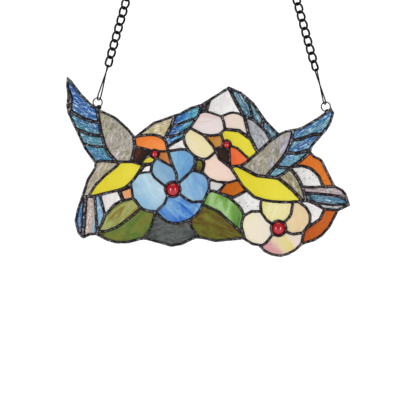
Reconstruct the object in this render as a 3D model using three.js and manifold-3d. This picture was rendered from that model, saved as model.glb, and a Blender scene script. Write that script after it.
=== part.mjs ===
// Stained glass panel of two birds over three flowers, hung from two chains.
// Millimetres, +Z up, the front faces -Y. The origin is midway between the two hooks' bearings.

import * as THREE from 'three';
import { mergeVertices } from 'three/addons/utils/BufferGeometryUtils.js';
import Module from 'manifold-3d';

const wasm = await Module();
wasm.setup();

// Driving sizes of the panel
const PANEL_WIDTH = 400;
const GLASS_THICKNESS = 3;
const BEAD_HEIGHT = 1.6;
const BORDER_WIDTH = 3.6;
const BORDER_WALL = 1;
const BORDER_LEAN = 0.9;
const BORDER_FLAT = 1.3;
const FINE = 3.6;
const PLAIN = 4.3;
const BROAD = 5.4;
const HEAVY = 7.5;
const CLEARANCE = 0.3;
const GLASS_CUT = 0.6;

// Driving sizes of the jewels, each seen through a round bezel
const JEWEL_DIAMETER = 18;
const JEWEL_RISE = 4.5;
const BEZEL_WIDTH = 3.4;
const EYE_DIAMETER = 10;
const EYE_RISE = 3;
const EYE_BEZEL_WIDTH = 2.4;

// Driving sizes of the hanging gear
const RING_DIAMETER = 14.6;
const RING_WIRE = 1.8;
const RING_STANDOFF = 7;
const LEFT_RING_LEAN = THREE.MathUtils.degToRad(14);
const RIGHT_RING_LEAN = THREE.MathUtils.degToRad(18.8);
const FOOT_WIDTH = 7.6;
const FOOT_HEIGHT = 6.8;
const CONNECTOR_LENGTH = 52.8;
const CONNECTOR_WIRE = 2;
const CONNECTOR_SLACK = 0.8;
const CONNECTOR_TWIST = THREE.MathUtils.degToRad(67);
const LINK_LENGTH = 17.4;
const LINK_WIDTH = 12.6;
const LINK_WIRE = 3;
const LINKS = 9;
const LINK_BITE = 0.6;
const LEFT_SLANT = THREE.MathUtils.degToRad(15.7);
const RIGHT_SLANT = THREE.MathUtils.degToRad(-15.3);
const HOOK_WIRE = 2.4;
const HOOK_CROOK = 5.5;
const HOOK_STEM = 12;

// Facets round a bent wire, and along each of its shapes
const WIRE_SIDES = 5;
const CONNECTOR_SIDES = 4;
const RING_STEPS = 12;
const CONNECTOR_STEPS = 12;
const LINK_STEPS = 8;
const HOOK_STEPS = 16;

// How far a straight facet may stray from the drawn curve, on show and under a bead
const CURVE_TOLERANCE = 0.8;
const HIDDEN_TOLERANCE = 1.1;

// Depths of the glass face and of the bead's foot and top, from the panel's middle plane
const GLASS_FACE = GLASS_THICKNESS / 2;
const BEAD_FOOT = GLASS_FACE + CLEARANCE;
const BEAD_TOP = BEAD_FOOT + BEAD_HEIGHT;

// The cartoon is the full-size drawing that the glass is cut to. Its points are counted in
// squares, right and down, on ruled paper where the panel is CARTOON_WIDTH squares wide.
const CARTOON_WIDTH = 284.8;
const CARTOON_MIDDLE = 208;
const SQUARE = PANEL_WIDTH / CARTOON_WIDTH;
const SNAP_SQUARES = 4.5;
const OVERRUN_SQUARES = 0.85;

// The panel's outer edge, clockwise from the left wing's tip, a smooth stretch to each corner
const OUTLINE = [
  [
    [67, 76.6], [72.5, 81.6], [78.1, 89.5], [83.3, 95.8], [89.2, 101.8], [97.5, 108.3],
    [105.8, 111.6], [114.2, 115.8], [122, 122.4], [128, 127.8], [134.9, 136.2],
  ],
  [
    [134.9, 136.2], [143.8, 129.5], [153.4, 122], [163, 118.7], [171.8, 115.3], [179.8, 112.8],
    [188.5, 107.8], [200.2, 104.3], [209.3, 99.3], [217.7, 93.3], [228.7, 86.4],
  ],
  [
    [228.7, 86.4], [234.3, 88.3], [242.3, 92.4], [249.8, 98.9], [256.1, 104.9], [263.2, 116.2],
    [270.3, 124.9], [279, 133.3],
  ],
  [
    [279, 133.3], [284, 130.8], [292.3, 129.1], [300.3, 127.4], [308.7, 122.8], [317.8, 117.4],
    [331.2, 107.4],
  ],
  [
    [331.2, 107.4], [334.1, 112], [333, 118.5], [328.3, 128.3], [322.8, 134.8], [317, 141.1],
    [311.6, 148.2], [311, 151.5],
  ],
  [
    [311, 151.5], [314.5, 155.7], [321.2, 158.6], [326.6, 168.6], [331.6, 179], [335.3, 185.3],
    [343.3, 189.8], [347.4, 195.7], [350.3, 205.4],
  ],
  [
    [350.3, 205.4], [339.1, 210.6], [335.8, 216], [330.3, 227.3], [324.5, 234.3], [317, 239.8],
    [308.7, 243.1], [302, 245.2], [296.2, 250.6], [289.8, 254.3], [281.5, 257], [271.5, 255.6],
    [264.4, 252.3], [258.5, 246],
  ],
  [
    [258.5, 246], [252.5, 245.3], [247.8, 241.8], [242.8, 239.3], [234, 240.8], [223.9, 241.4],
    [213.5, 242], [203.5, 239.1], [196, 238.3],
  ],
  [
    [196, 238.3], [189.8, 241.4], [179.8, 245.6], [171.3, 246.8], [160.1, 243.9], [144.7, 239.5],
    [129.7, 243.1], [118.3, 243.7], [107.9, 241.2], [95.8, 235],
  ],
  [
    [95.8, 235], [90, 235.4], [83.3, 238.3], [78.8, 235.2], [75.8, 227.3], [74.6, 220.2],
    [77.5, 207.7], [81.7, 196], [85, 186.1], [87.5, 177.8], [94.2, 167.3], [94.6, 163],
  ],
  [
    [94.6, 163], [90.8, 156.9], [85.4, 150.7], [79.2, 137.3], [74.6, 127.8], [70, 119.5],
    [66.2, 106], [67.4, 97], [66.3, 84.5], [67, 76.6],
  ],
];

// Jewels, each in a round bezel, by its centre on the cartoon
const JEWELS = {
  blue_flower_jewel: { centre: [172.8, 189.4], eye: false },
  cream_flower_jewel: { centre: [278.5, 228.3], eye: false },
  left_bird_eye: { centre: [154.7, 154], eye: true },
  right_bird_eye: { centre: [226.6, 144.6], eye: true },
};

// Seams between separate glasses, each snapped at both ends to the outline, a bezel or an
// earlier seam
const LEFT_BIRD_SEAMS = [
  [BROAD, [97.5, 108.5], [99.5, 124], [103, 140], [105.5, 147.5], [110, 155], [117, 162]],
  [PLAIN, [94.5, 163], [99, 161], [108, 161.3], [117, 162]],
  [BROAD, [134.5, 136.2], [134.9, 142.5], [135.1, 146.5], [133.6, 154], [131.5, 161.8]],
  [PLAIN, [117, 162], [124, 162], [131.5, 161.8]],
  [FINE, [131.5, 161.8], [140, 164.3], [147, 164.3], [153, 162.8], [157, 159]],
  [PLAIN, [81.7, 196], [89, 197], [97, 195.3], [107, 192.4], [118, 190.3], [126, 187], [133, 180.5],
    [139, 172.5], [144, 164.5]],
  [FINE, [88.5, 196.8], [93.5, 187.5], [99.5, 181], [108, 173.2], [117, 166], [120.5, 162]],
  [PLAIN, [134.9, 136.2], [141, 135.5], [148, 134.8], [156, 135.3], [161, 137], [165.5, 141],
    [167.5, 146.5], [168, 151.3]],
  [FINE, [135, 147], [142, 148], [151, 150.5]],
  [FINE, [158.5, 151.5], [163, 152], [168, 151.8]],
  [FINE, [151, 155], [145, 158], [140, 164]],
  [FINE, [156.5, 158], [161, 160.5], [167, 164], [173.5, 167.5]],
];
const LEFT_TAIL_SEAMS = [
  [PLAIN, [96.3, 235.3], [97, 231.5], [101, 226], [104.3, 217], [109, 210.5], [116, 203.5],
    [123, 200.7], [132, 198.8], [136, 200.5]],
  [PLAIN, [100, 195.5], [103, 205], [105, 215.5]],
  [BROAD, [118.5, 190.3], [120.5, 195], [123, 200.7]],
  [FINE, [131, 182.5], [132.5, 190], [133.3, 198.8]],
];
const LEFT_FAR_WING_SEAMS = [
  [BROAD, [174.5, 114.8], [173, 121], [171, 127], [167.5, 133], [164.5, 139.5]],
  [PLAIN, [201, 104], [199.3, 113.7], [194, 122], [190, 128], [184.3, 134.5], [184, 140.3],
    [186, 146.5], [189.8, 151.9], [195.8, 156.8], [201, 159]],
  [PLAIN, [167.5, 147.5], [172, 144], [178, 140.5], [184, 137.5]],
];
const BLUE_FLOWER_SEAMS = [
  [PLAIN, [168, 151.3], [175, 149.8], [184, 149.3], [190, 152]],
  [PLAIN, [194.5, 156], [195.2, 164], [192, 170.5]],
  [PLAIN, [168, 151.3], [169.5, 157], [171.5, 163], [174.5, 169], [177, 176], [176, 184]],
  [PLAIN, [192, 170.5], [186, 176.5], [178.5, 183.5]],
  [PLAIN, [192, 170.5], [199, 171.8], [205, 174.8], [208.8, 180.5], [209.3, 187], [207.5, 194],
    [203.5, 201.5]],
  [PLAIN, [178.5, 193], [186, 199], [193, 202.3], [203.5, 201.5]],
  [PLAIN, [203.5, 201.5], [201, 209], [195, 216], [188.5, 220.3], [178, 223.4], [170, 222.8],
    [163, 219], [156, 211.7]],
  [FINE, [168, 195], [165, 203], [160.5, 208], [156, 211.7]],
  [PLAIN, [133.3, 198.8], [136, 201], [140.5, 207.5], [147, 210.8], [156, 211.7]],
  [FINE, [138, 174.2], [144.5, 172.2], [151, 172]],
  [FINE, [151, 172], [154, 177], [160, 182], [167, 187]],
  [PLAIN, [152.3, 163], [152, 168], [151, 172]],
];
const LEFT_LEAF_SEAMS = [
  [PLAIN, [97, 231.5], [105, 231.4], [115.4, 228.1], [123.4, 222.7], [131.8, 216.4], [141, 208.3]],
  [FINE, [155.5, 211.7], [153.4, 221], [149.7, 230.2], [143.5, 239.3]],
  [FINE, [190.2, 219.5], [191.5, 227], [195.2, 232.3], [199, 238]],
];
const RIGHT_WING_EDGE_SEAMS = [
  [PLAIN, [246, 162.8], [252, 157.5], [259, 151], [266, 145], [272, 139.5], [279, 133.5]],
];
const CREAM_FLOWER_TOP_SEAMS = [
  [PLAIN, [209.5, 99.5], [206.5, 111.6]],
  [FINE, [199.3, 113.7], [205, 111.5], [210, 112.4], [217, 114.6], [221.5, 116.5]],
  [BROAD, [228.7, 86.4], [233, 96.5], [237, 104.5], [241, 111.5], [244.5, 117]],
  [FINE, [221.5, 116.5], [226, 114.5], [232, 112.7], [238, 113.5], [244.5, 117]],
  [PLAIN, [190, 128], [196, 131.2], [203, 134.8], [212, 135.8], [219, 135], [225, 129.3]],
  [PLAIN, [221.5, 116.5], [223.5, 121], [225, 129.3]],
  [BROAD, [244.5, 117], [246.5, 125.8], [248, 133], [251, 140.5], [257, 151.5]],
  [BROAD, [225, 129.3], [231, 129.8], [239, 130.8], [245, 134.5], [250, 139.5]],
  [PLAIN, [203, 134.8], [209.5, 142], [214, 147.5], [216, 151.5]],
  [PLAIN, [201, 159], [205.2, 159.2], [209, 157.8], [213, 154.5], [216, 151.5]],
];
const RIGHT_BIRD_SEAMS = [
  [PLAIN, [216, 151.5], [217.7, 156.5], [220.2, 159.8], [226.8, 164.6], [230.5, 167.5],
    [234.8, 174], [238.5, 179.5], [242, 185.5], [247.5, 191.5], [254, 197], [261, 199.4],
    [270, 201.3], [280, 202], [292, 202], [300, 200.8], [308, 200.6]],
  [PLAIN, [221, 133.5], [222.6, 139.5]],
  [FINE, [214.8, 148.6], [222, 147]],
  [FINE, [229.5, 149], [230, 157], [230.5, 167]],
  [FINE, [231, 146], [236.5, 147.8], [240.3, 151.1], [244.4, 154.8], [249.5, 159.5]],
  [PLAIN, [230, 166.7], [236, 165.8], [240.5, 165.8], [246, 162.8]],
  [PLAIN, [244.5, 117], [252.8, 119.7], [259.8, 125.8], [265.7, 131.6], [270.8, 140.4]],
  [BROAD, [238, 165.9], [245, 169.8], [251, 173.2], [258, 176], [266, 177.2], [275, 177.7],
    [279, 178.8], [284, 183.2], [291.5, 189.3], [295.8, 193.6], [302.5, 200.6]],
  [BROAD, [293, 129.2], [291.9, 137.3], [288.5, 147.8], [284, 155.7], [278.2, 163.2], [269.8, 172.3],
    [266, 177]],
  [BROAD, [311, 151.5], [305.5, 156], [300, 161], [295, 165], [289.5, 168]],
  [PLAIN, [289.5, 168], [286, 172.3], [280, 175.7], [275, 177.6]],
  [BROAD, [289.5, 168], [294.5, 173.5], [298, 178.5], [301.2, 184.8], [304.1, 193], [306, 200.6]],
];
const RIGHT_SIDE_SEAMS = [
  [PLAIN, [291.5, 167.2], [297.4, 166.1], [302.4, 166], [308, 167.2], [314.1, 171.1], [319.5, 177.3],
    [323, 186.4]],
  [PLAIN, [301.8, 186.8], [310.8, 187.3], [317, 186.6], [325, 186.4], [335.5, 186]],
  [PLAIN, [307, 200.7], [315.3, 203.9], [323.7, 208.9], [329.5, 209.8], [338.5, 210.8]],
  [PLAIN, [324.5, 209.3], [321.2, 217.3], [317.8, 221], [310.3, 225.6], [304.1, 231],
    [302.8, 236], [301.8, 245]],
];
const CREAM_FLOWER_LOW_SEAMS = [
  [PLAIN, [261, 199.4], [260.5, 205], [261, 211], [263, 215.5], [268, 221.5], [273, 225]],
  [PLAIN, [293, 202], [292.3, 209], [290, 216], [283, 223.5]],
  [PLAIN, [298, 201.2], [303.5, 205], [308, 210.5], [310.3, 217], [309.8, 223], [305, 230.5]],
  [PLAIN, [284.5, 231], [291, 233.8], [298, 234], [303.2, 232.5]],
  [PLAIN, [274, 233], [267.5, 241.5], [262.5, 245], [258.7, 246.3]],
  [PLAIN, [244, 215.5], [250, 212], [256, 211], [261, 211.3]],
  [PLAIN, [244, 215.5], [241.8, 222], [241.7, 229], [243.5, 235.5], [244.3, 240]],
];
const RIGHT_LEAF_SEAMS = [
  [PLAIN, [207.5, 193.5], [211, 190.8], [217, 192.3], [224, 194.9], [230.2, 198.3], [236, 203],
    [241.5, 209.8], [244, 215.5]],
  [PLAIN, [203.2, 204.5], [210.2, 207.7], [218.1, 211.4], [226, 218.1], [234.3, 225.2],
    [243.2, 234.5]],
  [FINE, [203, 159.3], [204.5, 163], [203.5, 168], [202.8, 173]],
  [FINE, [202.8, 173], [208, 178], [213, 180.8], [220, 182.3], [229, 182.6], [234, 181.5],
    [238.7, 179.7]],
  [PLAIN, [226, 182.8], [222.7, 187.3], [218.1, 192.4]],
  [PLAIN, [220.5, 193.3], [228, 196], [234, 197.3], [239, 195.3], [246.5, 191]],
];
const PARTING_SEAMS = [
  ...LEFT_BIRD_SEAMS, ...LEFT_TAIL_SEAMS, ...LEFT_FAR_WING_SEAMS, ...BLUE_FLOWER_SEAMS,
  ...LEFT_LEAF_SEAMS, ...RIGHT_WING_EDGE_SEAMS, ...CREAM_FLOWER_TOP_SEAMS, ...RIGHT_BIRD_SEAMS,
  ...RIGHT_SIDE_SEAMS, ...CREAM_FLOWER_LOW_SEAMS, ...RIGHT_LEAF_SEAMS,
];

// Seams inside a wing or tail, whose feathers are one fused node, and two broad runs of solder
const FEATHER_SEAMS = [
  [BROAD, [67.5, 108], [73, 112.5], [80, 117], [88, 120.3], [99, 123]],
  [BROAD, [77, 129], [84, 132.5], [91, 135], [101.5, 136.5]],
  [FINE, [83, 143.5], [88, 145], [95, 146.6], [105, 147.3]],
  [HEAVY, [70, 90], [70.6, 98], [71, 109]],
  [HEAVY, [85.5, 197], [84.8, 210], [83.5, 225], [82.8, 236.5]],
  [PLAIN, [95, 196.5], [96, 212], [97, 231]],
  [FINE, [171.5, 127], [180, 124], [188, 120.8], [196, 117.5]],
  [PLAIN, [165.5, 137.3], [173, 136.5], [180, 134], [186, 130.5], [190, 127.3]],
  [PLAIN, [243.5, 94], [248.6, 102.8], [251.5, 112], [253.2, 119.5]],
  [BROAD, [264, 118], [262.3, 122.4], [262.3, 128]],
  [BROAD, [253.5, 103.5], [258.5, 110.5], [263, 117.5]],
  [BROAD, [291, 140.5], [298.7, 139.4], [307, 136.5], [315, 134.3], [322, 134.3]],
  [BROAD, [286.5, 152.8], [296, 153.7], [303, 151.5], [311, 150]],
  [BROAD, [289.5, 168], [281, 167.6], [275, 165.8]],
  [PLAIN, [304.2, 192.6], [315, 194], [330, 194.6], [340, 196.8], [348, 200.8]],
  [FINE, [307, 193], [309.5, 197], [313, 201.5], [320, 203.8], [332, 205], [343, 204.3], [349, 203.8]],
  [HEAVY, [205, 103.5], [203.5, 111.5]],
];

// Glasses by name: a point inside each on the cartoon, and its colour
const GLASSES = {
  left_near_wing_feathers: { inside: [85, 124], colour: 0x3f74a8 },
  left_wing_covert: { inside: [115, 140], colour: 0xa5a08c },
  left_bird_back: { inside: [98, 174], colour: 0xa59b7d },
  left_bird_belly: { inside: [118, 178], colour: 0xe2d63a },
  left_bird_crest: { inside: [150, 142], colour: 0xf58c3c },
  left_bird_cheek: { inside: [140, 154], colour: 0x2d1914 },
  left_bird_throat: { inside: [147, 161], colour: 0xe2c83c },
  left_bird_beak: { inside: [165, 157], colour: 0xcd8246 },
  left_bird_tail: { inside: [79, 216], colour: 0x5f8cb4 },
  left_far_wing_covert: { inside: [160, 128], colour: 0xd7cdaa },
  left_far_wing_feathers: { inside: [182, 127], colour: 0x4678a0 },
  clear_by_left_tail: { inside: [109, 200], colour: 0xe2e0de },
  clear_over_blue_flower: { inside: [177, 146], colour: 0xe2e0de },
  clear_top: { inside: [222, 104], colour: 0xe2e0de },
  clear_in_middle: { inside: [249, 204], colour: 0xe2e0de },
  clear_low_right: { inside: [314, 212], colour: 0xe2e0de },
  clear_by_right_tail: { inside: [308, 177], colour: 0xe2e0de },
  orange_left_of_bird: { inside: [234, 188], colour: 0xd77814 },
  orange_arc_upper: { inside: [318, 166], colour: 0xe1781e },
  orange_arc_lower: { inside: [320, 228], colour: 0xc85f19 },
  left_leaf_upper: { inside: [120, 214], colour: 0x9ba04b },
  left_leaf_lower: { inside: [130, 230], colour: 0x787d32 },
  dark_ground: { inside: [172, 234], colour: 0x555657 },
  right_leaf_dark: { inside: [212, 225], colour: 0x737328 },
  right_leaf_light: { inside: [222, 203], colour: 0x7ba94b },
  blue_petal_left: { inside: [148, 192], colour: 0x9bc8e4 },
  blue_petal_upper_left: { inside: [164, 172], colour: 0x7dafd7 },
  blue_petal_upper_right: { inside: [183, 162], colour: 0x6ea5d7 },
  blue_petal_right: { inside: [195, 186], colour: 0x73a5d7 },
  blue_petal_low: { inside: [182, 211], colour: 0x4b87d7 },
  cream_petal_top_left: { inside: [208, 124], colour: 0xe6dcda },
  cream_petal_top_right: { inside: [234, 121], colour: 0xe8d7c8 },
  cream_petal_left: { inside: [200, 147], colour: 0xebdeaa },
  cream_petal_low: { inside: [217, 172], colour: 0xecdcd0 },
  pale_petal_top: { inside: [276, 209], colour: 0xe8e2aa },
  pale_petal_right: { inside: [299, 218], colour: 0xe8d4a5 },
  pale_petal_low: { inside: [282, 246], colour: 0xe2beaf },
  pale_petal_left: { inside: [255, 229], colour: 0xeae2d0 },
  right_bird_beak: { inside: [216, 140], colour: 0xc88c3c },
  right_bird_crest: { inside: [242, 143], colour: 0xe6dc3c },
  right_bird_throat: { inside: [237, 157], colour: 0xeb733c },
  right_bird_cheek: { inside: [224, 156], colour: 0x371e14 },
  right_bird_belly: { inside: [262, 188], colour: 0xe6da3c },
  right_bird_rump: { inside: [291, 181], colour: 0x96917d },
  right_bird_tail: { inside: [325, 190.5], colour: 0xa0a0b4 },
  right_far_wing_covert: { inside: [257, 135], colour: 0xa0a2aa },
  right_far_wing_feathers: { inside: [243, 104], colour: 0x4b86a5 },
  right_wing_covert: { inside: [268, 157], colour: 0xa5a091 },
  right_near_wing_feathers: { inside: [316, 126], colour: 0x4b82aa },
};

// Four glasses too small for a node of their own, fused with the solder around them
const SMALL_TILES = {
  clear_under_throat: [147, 169],
  clear_by_orange: [214, 186],
  orange_square: [127, 193],
  olive_by_petal: [199.5, 165],
};

// Rings soldered to the wings: the middle of each one's solder foot, the lean of the ring's
// centre to the left of straight above it, and the slant of the chain
const HANGERS = {
  left: { foot: [98.8, 107.2], lean: LEFT_RING_LEAN, slant: LEFT_SLANT },
  right: { foot: [327.5, 111.3], lean: RIGHT_RING_LEAN, slant: RIGHT_SLANT },
};

// A cartoon point in the panel's plane, x to the right and y up
function place([right, down]) {
  return new THREE.Vector2((right - CARTOON_MIDDLE) * SQUARE, -down * SQUARE);
}

// Distance of a point from a straight stretch, and the nearest point on it
function nearestOnStretch(point, start, end) {
  const along = end.clone().sub(start);
  const share = THREE.MathUtils.clamp(point.clone().sub(start).dot(along) / along.lengthSq(), 0, 1);
  const nearest = start.clone().addScaledVector(along, share);
  return { nearest, distance: nearest.distanceTo(point) };
}

// Keep only the points that a run needs to stay within the tolerance of the full curve
function thin(points, tolerance) {
  if (points.length < 3) {
    return points;
  }
  const start = points[0];
  const end = points[points.length - 1];
  let farthest = 0;
  let turn = 0;
  for (let i = 1; i < points.length - 1; i++) {
    const { distance } = nearestOnStretch(points[i], start, end);
    if (distance > farthest) {
      farthest = distance;
      turn = i;
    }
  }
  if (farthest <= tolerance) {
    return [start, end];
  }
  const before = thin(points.slice(0, turn + 1), tolerance);
  const after = thin(points.slice(turn), tolerance);
  return [...before, ...after.slice(1)];
}

// A smooth run through a few points, as short straight stretches
function smooth(points, tolerance) {
  const stepsPerPoint = 6;
  const curve = new THREE.CatmullRomCurve3(
    points.map((point) => new THREE.Vector3(point.x, point.y, 0)), false, 'centripetal');
  const fine = curve.getPoints(points.length * stepsPerPoint);
  return thin(fine.map((point) => new THREE.Vector2(point.x, point.y)), tolerance);
}

// A closed ring of points around a centre, the first straight above it
function circle(centre, radius, sides) {
  return Array.from({ length: sides }, (_, i) => {
    const angle = (i / sides) * 2 * Math.PI;
    return new THREE.Vector2(centre.x + radius * Math.sin(angle), centre.y + radius * Math.cos(angle));
  });
}

// Directions square to a path at each of its points, to the right of travel, long enough to
// carry a seam's full width round the bend
function mitres(path, closed) {
  const longestMitre = 2.2;
  return path.map((point, i) => {
    const last = path.length - 1;
    const before = path[closed ? (i + last) % path.length : Math.max(i - 1, 0)];
    const after = path[closed ? (i + 1) % path.length : Math.min(i + 1, last)];
    const into = (i > 0 || closed ? point.clone().sub(before) : after.clone().sub(point)).normalize();
    const out = (i < last || closed ? after.clone().sub(point) : point.clone().sub(before)).normalize();
    const squareInto = new THREE.Vector2(into.y, -into.x);
    const squareOut = new THREE.Vector2(out.y, -out.x);
    const middle = squareInto.clone().add(squareOut).normalize();
    return middle.multiplyScalar(Math.min(1 / middle.dot(squareInto), longestMitre));
  });
}

// A path moved to the right of its travel by a distance
function offset(path, distance, closed) {
  const sideways = mitres(path, closed);
  return path.map((point, i) => point.clone().addScaledVector(sideways[i], distance));
}

// A solid from corner positions and triangles
function solid(positions, triangles) {
  return new wasm.Manifold(new wasm.Mesh({
    numProp: 3,
    vertProperties: new Float32Array(positions),
    triVerts: new Uint32Array(triangles),
  }));
}

// A three.js shape's closed geometry as a solid
function solidOf(geometry) {
  const bare = geometry.clone();
  bare.deleteAttribute('normal');
  bare.deleteAttribute('uv');
  const sameCorner = 1e-4;
  const merged = mergeVertices(bare, sameCorner);
  return solid(merged.attributes.position.array, merged.index.array);
}

// A solid's surface as a three.js geometry, without the slivers that joins and cuts leave
function geometryOf(shape) {
  const sliver = 0.02;
  const mesh = shape.asOriginal().simplify(sliver).getMesh();
  const geometry = new THREE.BufferGeometry();
  geometry.setAttribute('position', new THREE.BufferAttribute(mesh.vertProperties, 3));
  geometry.setIndex(new THREE.BufferAttribute(mesh.triVerts, 1));
  geometry.computeVertexNormals();
  return geometry;
}

// Sweep a section along a path in the panel's plane. A section's corners are [right of travel,
// depth], anticlockwise as seen looking back along the path.
function sweep(path, section, closed = false) {
  const sideways = mitres(path, closed);
  const positions = [];
  path.forEach((point, i) => {
    for (const [across, depth] of section) {
      positions.push(point.x + sideways[i].x * across, depth, point.y + sideways[i].y * across);
    }
  });
  const corners = section.length;
  const triangles = [];
  const stretches = closed ? path.length : path.length - 1;
  for (let i = 0; i < stretches; i++) {
    const here = i * corners;
    const there = ((i + 1) % path.length) * corners;
    for (let k = 0; k < corners; k++) {
      const next = (k + 1) % corners;
      triangles.push(here + k, here + next, there + next, here + k, there + next, there + k);
    }
  }
  if (!closed) {
    const far = (path.length - 1) * corners;
    for (let k = 1; k < corners - 1; k++) {
      triangles.push(0, k + 1, k, far, far + k, far + k + 1);
    }
  }
  return solid(positions, triangles);
}

// Section of a solder bead on the front (side -1) or the back (side 1), crowned in its middle
function beadSection(width, side) {
  const foot = width / 2;
  const corners = [[-foot, side * BEAD_FOOT], [foot, side * BEAD_FOOT], [0, side * BEAD_TOP]];
  return side > 0 ? corners : corners.reverse();
}

// Section of the border, a channel that holds the glass edge and is open inwards
function borderSection() {
  const crown = BORDER_LEAN + BORDER_FLAT;
  return [
    [0, 0], [BORDER_LEAN, -BEAD_TOP], [crown, -BEAD_TOP], [BORDER_WIDTH, -BEAD_FOOT],
    [BORDER_WALL, -BEAD_FOOT], [BORDER_WALL, BEAD_FOOT], [BORDER_WIDTH, BEAD_FOOT],
    [crown, BEAD_TOP], [BORDER_LEAN, BEAD_TOP],
  ];
}

// Section of the saw's path between two glasses
function cutSection() {
  const reach = 2 * GLASS_FACE;
  const half = GLASS_CUT / 2;
  return [[-half, -reach], [half, -reach], [half, reach], [-half, reach]];
}

// Sizes of a jewel and of its bezel
function jewelSizes({ centre, eye }) {
  const radius = (eye ? EYE_DIAMETER : JEWEL_DIAMETER) / 2;
  const width = eye ? EYE_BEZEL_WIDTH : BEZEL_WIDTH;
  const inner = radius + CLEARANCE;
  return {
    centre: place(centre),
    radius,
    rise: eye ? EYE_RISE : JEWEL_RISE,
    sides: eye ? 8 : 12,
    width,
    inner,
    middle: inner + width / 2,
    flange: inner + width / 2 - CLEARANCE,
  };
}

// A round cutter through the whole panel
function drill(centre, radius, sides) {
  const through = 4 * BEAD_TOP;
  const geometry = new THREE.CylinderGeometry(radius, radius, through, sides);
  geometry.translate(centre.x, 0, centre.y);
  return solidOf(geometry);
}

// Lay out the border and the seams, with every seam's ends brought onto what it meets
const border = OUTLINE.flatMap((stretch) => smooth(stretch.map(place), CURVE_TOLERANCE).slice(1));
const borderMiddle = offset(border, BORDER_WIDTH / 2, true);
const jewels = Object.entries(JEWELS).map(([name, jewel]) => ({ name, ...jewelSizes(jewel) }));
const drawnLines = [[...borderMiddle, borderMiddle[0]]];
for (const jewel of jewels) {
  const ring = circle(jewel.centre, jewel.middle, jewel.sides);
  drawnLines.push([...ring, ring[0]]);
}

// The nearest spot on what is drawn already, and how far a cut runs on past it
function snap(point) {
  const overrun = OVERRUN_SQUARES * SQUARE;
  let best = { nearest: point, distance: SNAP_SQUARES * SQUARE };
  for (const line of drawnLines) {
    for (let i = 1; i < line.length; i++) {
      const found = nearestOnStretch(point, line[i - 1], line[i]);
      if (found.distance < best.distance) {
        best = { ...found, overrun: line === drawnLines[0] ? BORDER_WIDTH : overrun };
      }
    }
  }
  return { spot: best.nearest, overrun: best.overrun ?? overrun };
}

function layOut([width, ...drawn], parts) {
  const points = drawn.map(place);
  const ends = [snap(points[0]), snap(points[points.length - 1])];
  points[0] = ends[0].spot;
  points[points.length - 1] = ends[1].spot;
  const line = smooth(points, CURVE_TOLERANCE);
  drawnLines.push(line);
  return { width, line, parts, ends, hidden: smooth(points, HIDDEN_TOLERANCE) };
}

const seams = [
  ...PARTING_SEAMS.map((seam) => layOut(seam, true)),
  ...FEATHER_SEAMS.map((seam) => layOut(seam, false)),
];

// A seam's hidden line, carried on past both of its ends
function cutLine({ hidden, ends }) {
  const longer = hidden.map((point) => point.clone());
  const last = hidden.length - 1;
  const backwards = hidden[0].clone().sub(hidden[1]).normalize();
  const onwards = hidden[last].clone().sub(hidden[last - 1]).normalize();
  longer[0].addScaledVector(backwards, ends[0].overrun);
  longer[last].addScaledVector(onwards, ends[1].overrun);
  return longer;
}

// A flat sheet of the panel's outline, inset from the outer edge, about the middle plane
function sheetSolid(inset, thickness) {
  const edge = new THREE.Shape(offset(border, inset, true));
  const sheet = new THREE.ExtrudeGeometry(edge, { depth: thickness, bevelEnabled: false });
  sheet.rotateX(Math.PI / 2);
  sheet.translate(0, thickness / 2, 0);
  return solidOf(sheet);
}

// The sheet of glass inside the border, parted along the seams and bored for the jewels
function glassPieces() {
  const sheet = sheetSolid(BORDER_WALL + CLEARANCE, GLASS_THICKNESS);
  const cuts = seams.filter((seam) => seam.parts)
    .map((seam) => sweep(cutLine(seam), cutSection()));
  const bores = jewels.map((jewel) => drill(jewel.centre, jewel.flange + CLEARANCE, jewel.sides));
  const rings = Object.values(HANGERS).map(ringRoom);
  return sheet.subtract(wasm.Manifold.union([...cuts, ...bores, ...rings])).decompose();
}

// Whether a piece of flat glass covers a cartoon point
function covers(piece, cartoonPoint) {
  const { x, y } = place(cartoonPoint);
  const probe = new THREE.BoxGeometry(GLASS_CUT, GLASS_THICKNESS / 2, GLASS_CUT);
  probe.translate(x, 0, y);
  return piece.intersect(solidOf(probe)).volume() > 0;
}

const pieces = glassPieces();
function pieceAt(cartoonPoint) {
  return pieces.find((piece) => covers(piece, cartoonPoint));
}

// A small tile fills its whole depth between the beads, so that it is one with them
function fusedTile(cartoonPoint) {
  return pieceAt(cartoonPoint).scale([1, BEAD_FOOT / GLASS_FACE, 1]);
}

// A ring's round wire, lying in the panel's plane
function ringGeometry(wire) {
  const geometry = new THREE.TorusGeometry(
    (RING_DIAMETER - RING_WIRE) / 2, wire / 2, WIRE_SIDES, RING_STEPS);
  geometry.rotateX(Math.PI / 2);
  return geometry;
}

// Where a ring's centre stands off its foot
function ringCentre({ foot, lean }) {
  const upwards = new THREE.Vector2(-Math.sin(lean), Math.cos(lean));
  return place(foot).addScaledVector(upwards, RING_STANDOFF);
}

// The lump of solder on the border that a ring is sunk into, clear of the glass
function footSolid({ foot }) {
  const { x, y } = place(foot);
  const lump = new THREE.SphereGeometry(FOOT_WIDTH / 2, 8, 6);
  lump.scale(1, BEAD_TOP / (FOOT_WIDTH / 2), FOOT_HEIGHT / FOOT_WIDTH);
  lump.translate(x, 0, y);
  return solidOf(lump).subtract(sheetSolid(BORDER_WALL, 2 * BEAD_FOOT));
}

// The room that a ring's wire takes in the solder and the glass, clear of its flat facets
function ringRoom(hanger) {
  const { x, y } = ringCentre(hanger);
  const room = ringGeometry(RING_WIRE + 2 * CLEARANCE / Math.cos(Math.PI / WIRE_SIDES));
  room.translate(x, 0, y);
  return solidOf(room);
}

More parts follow.
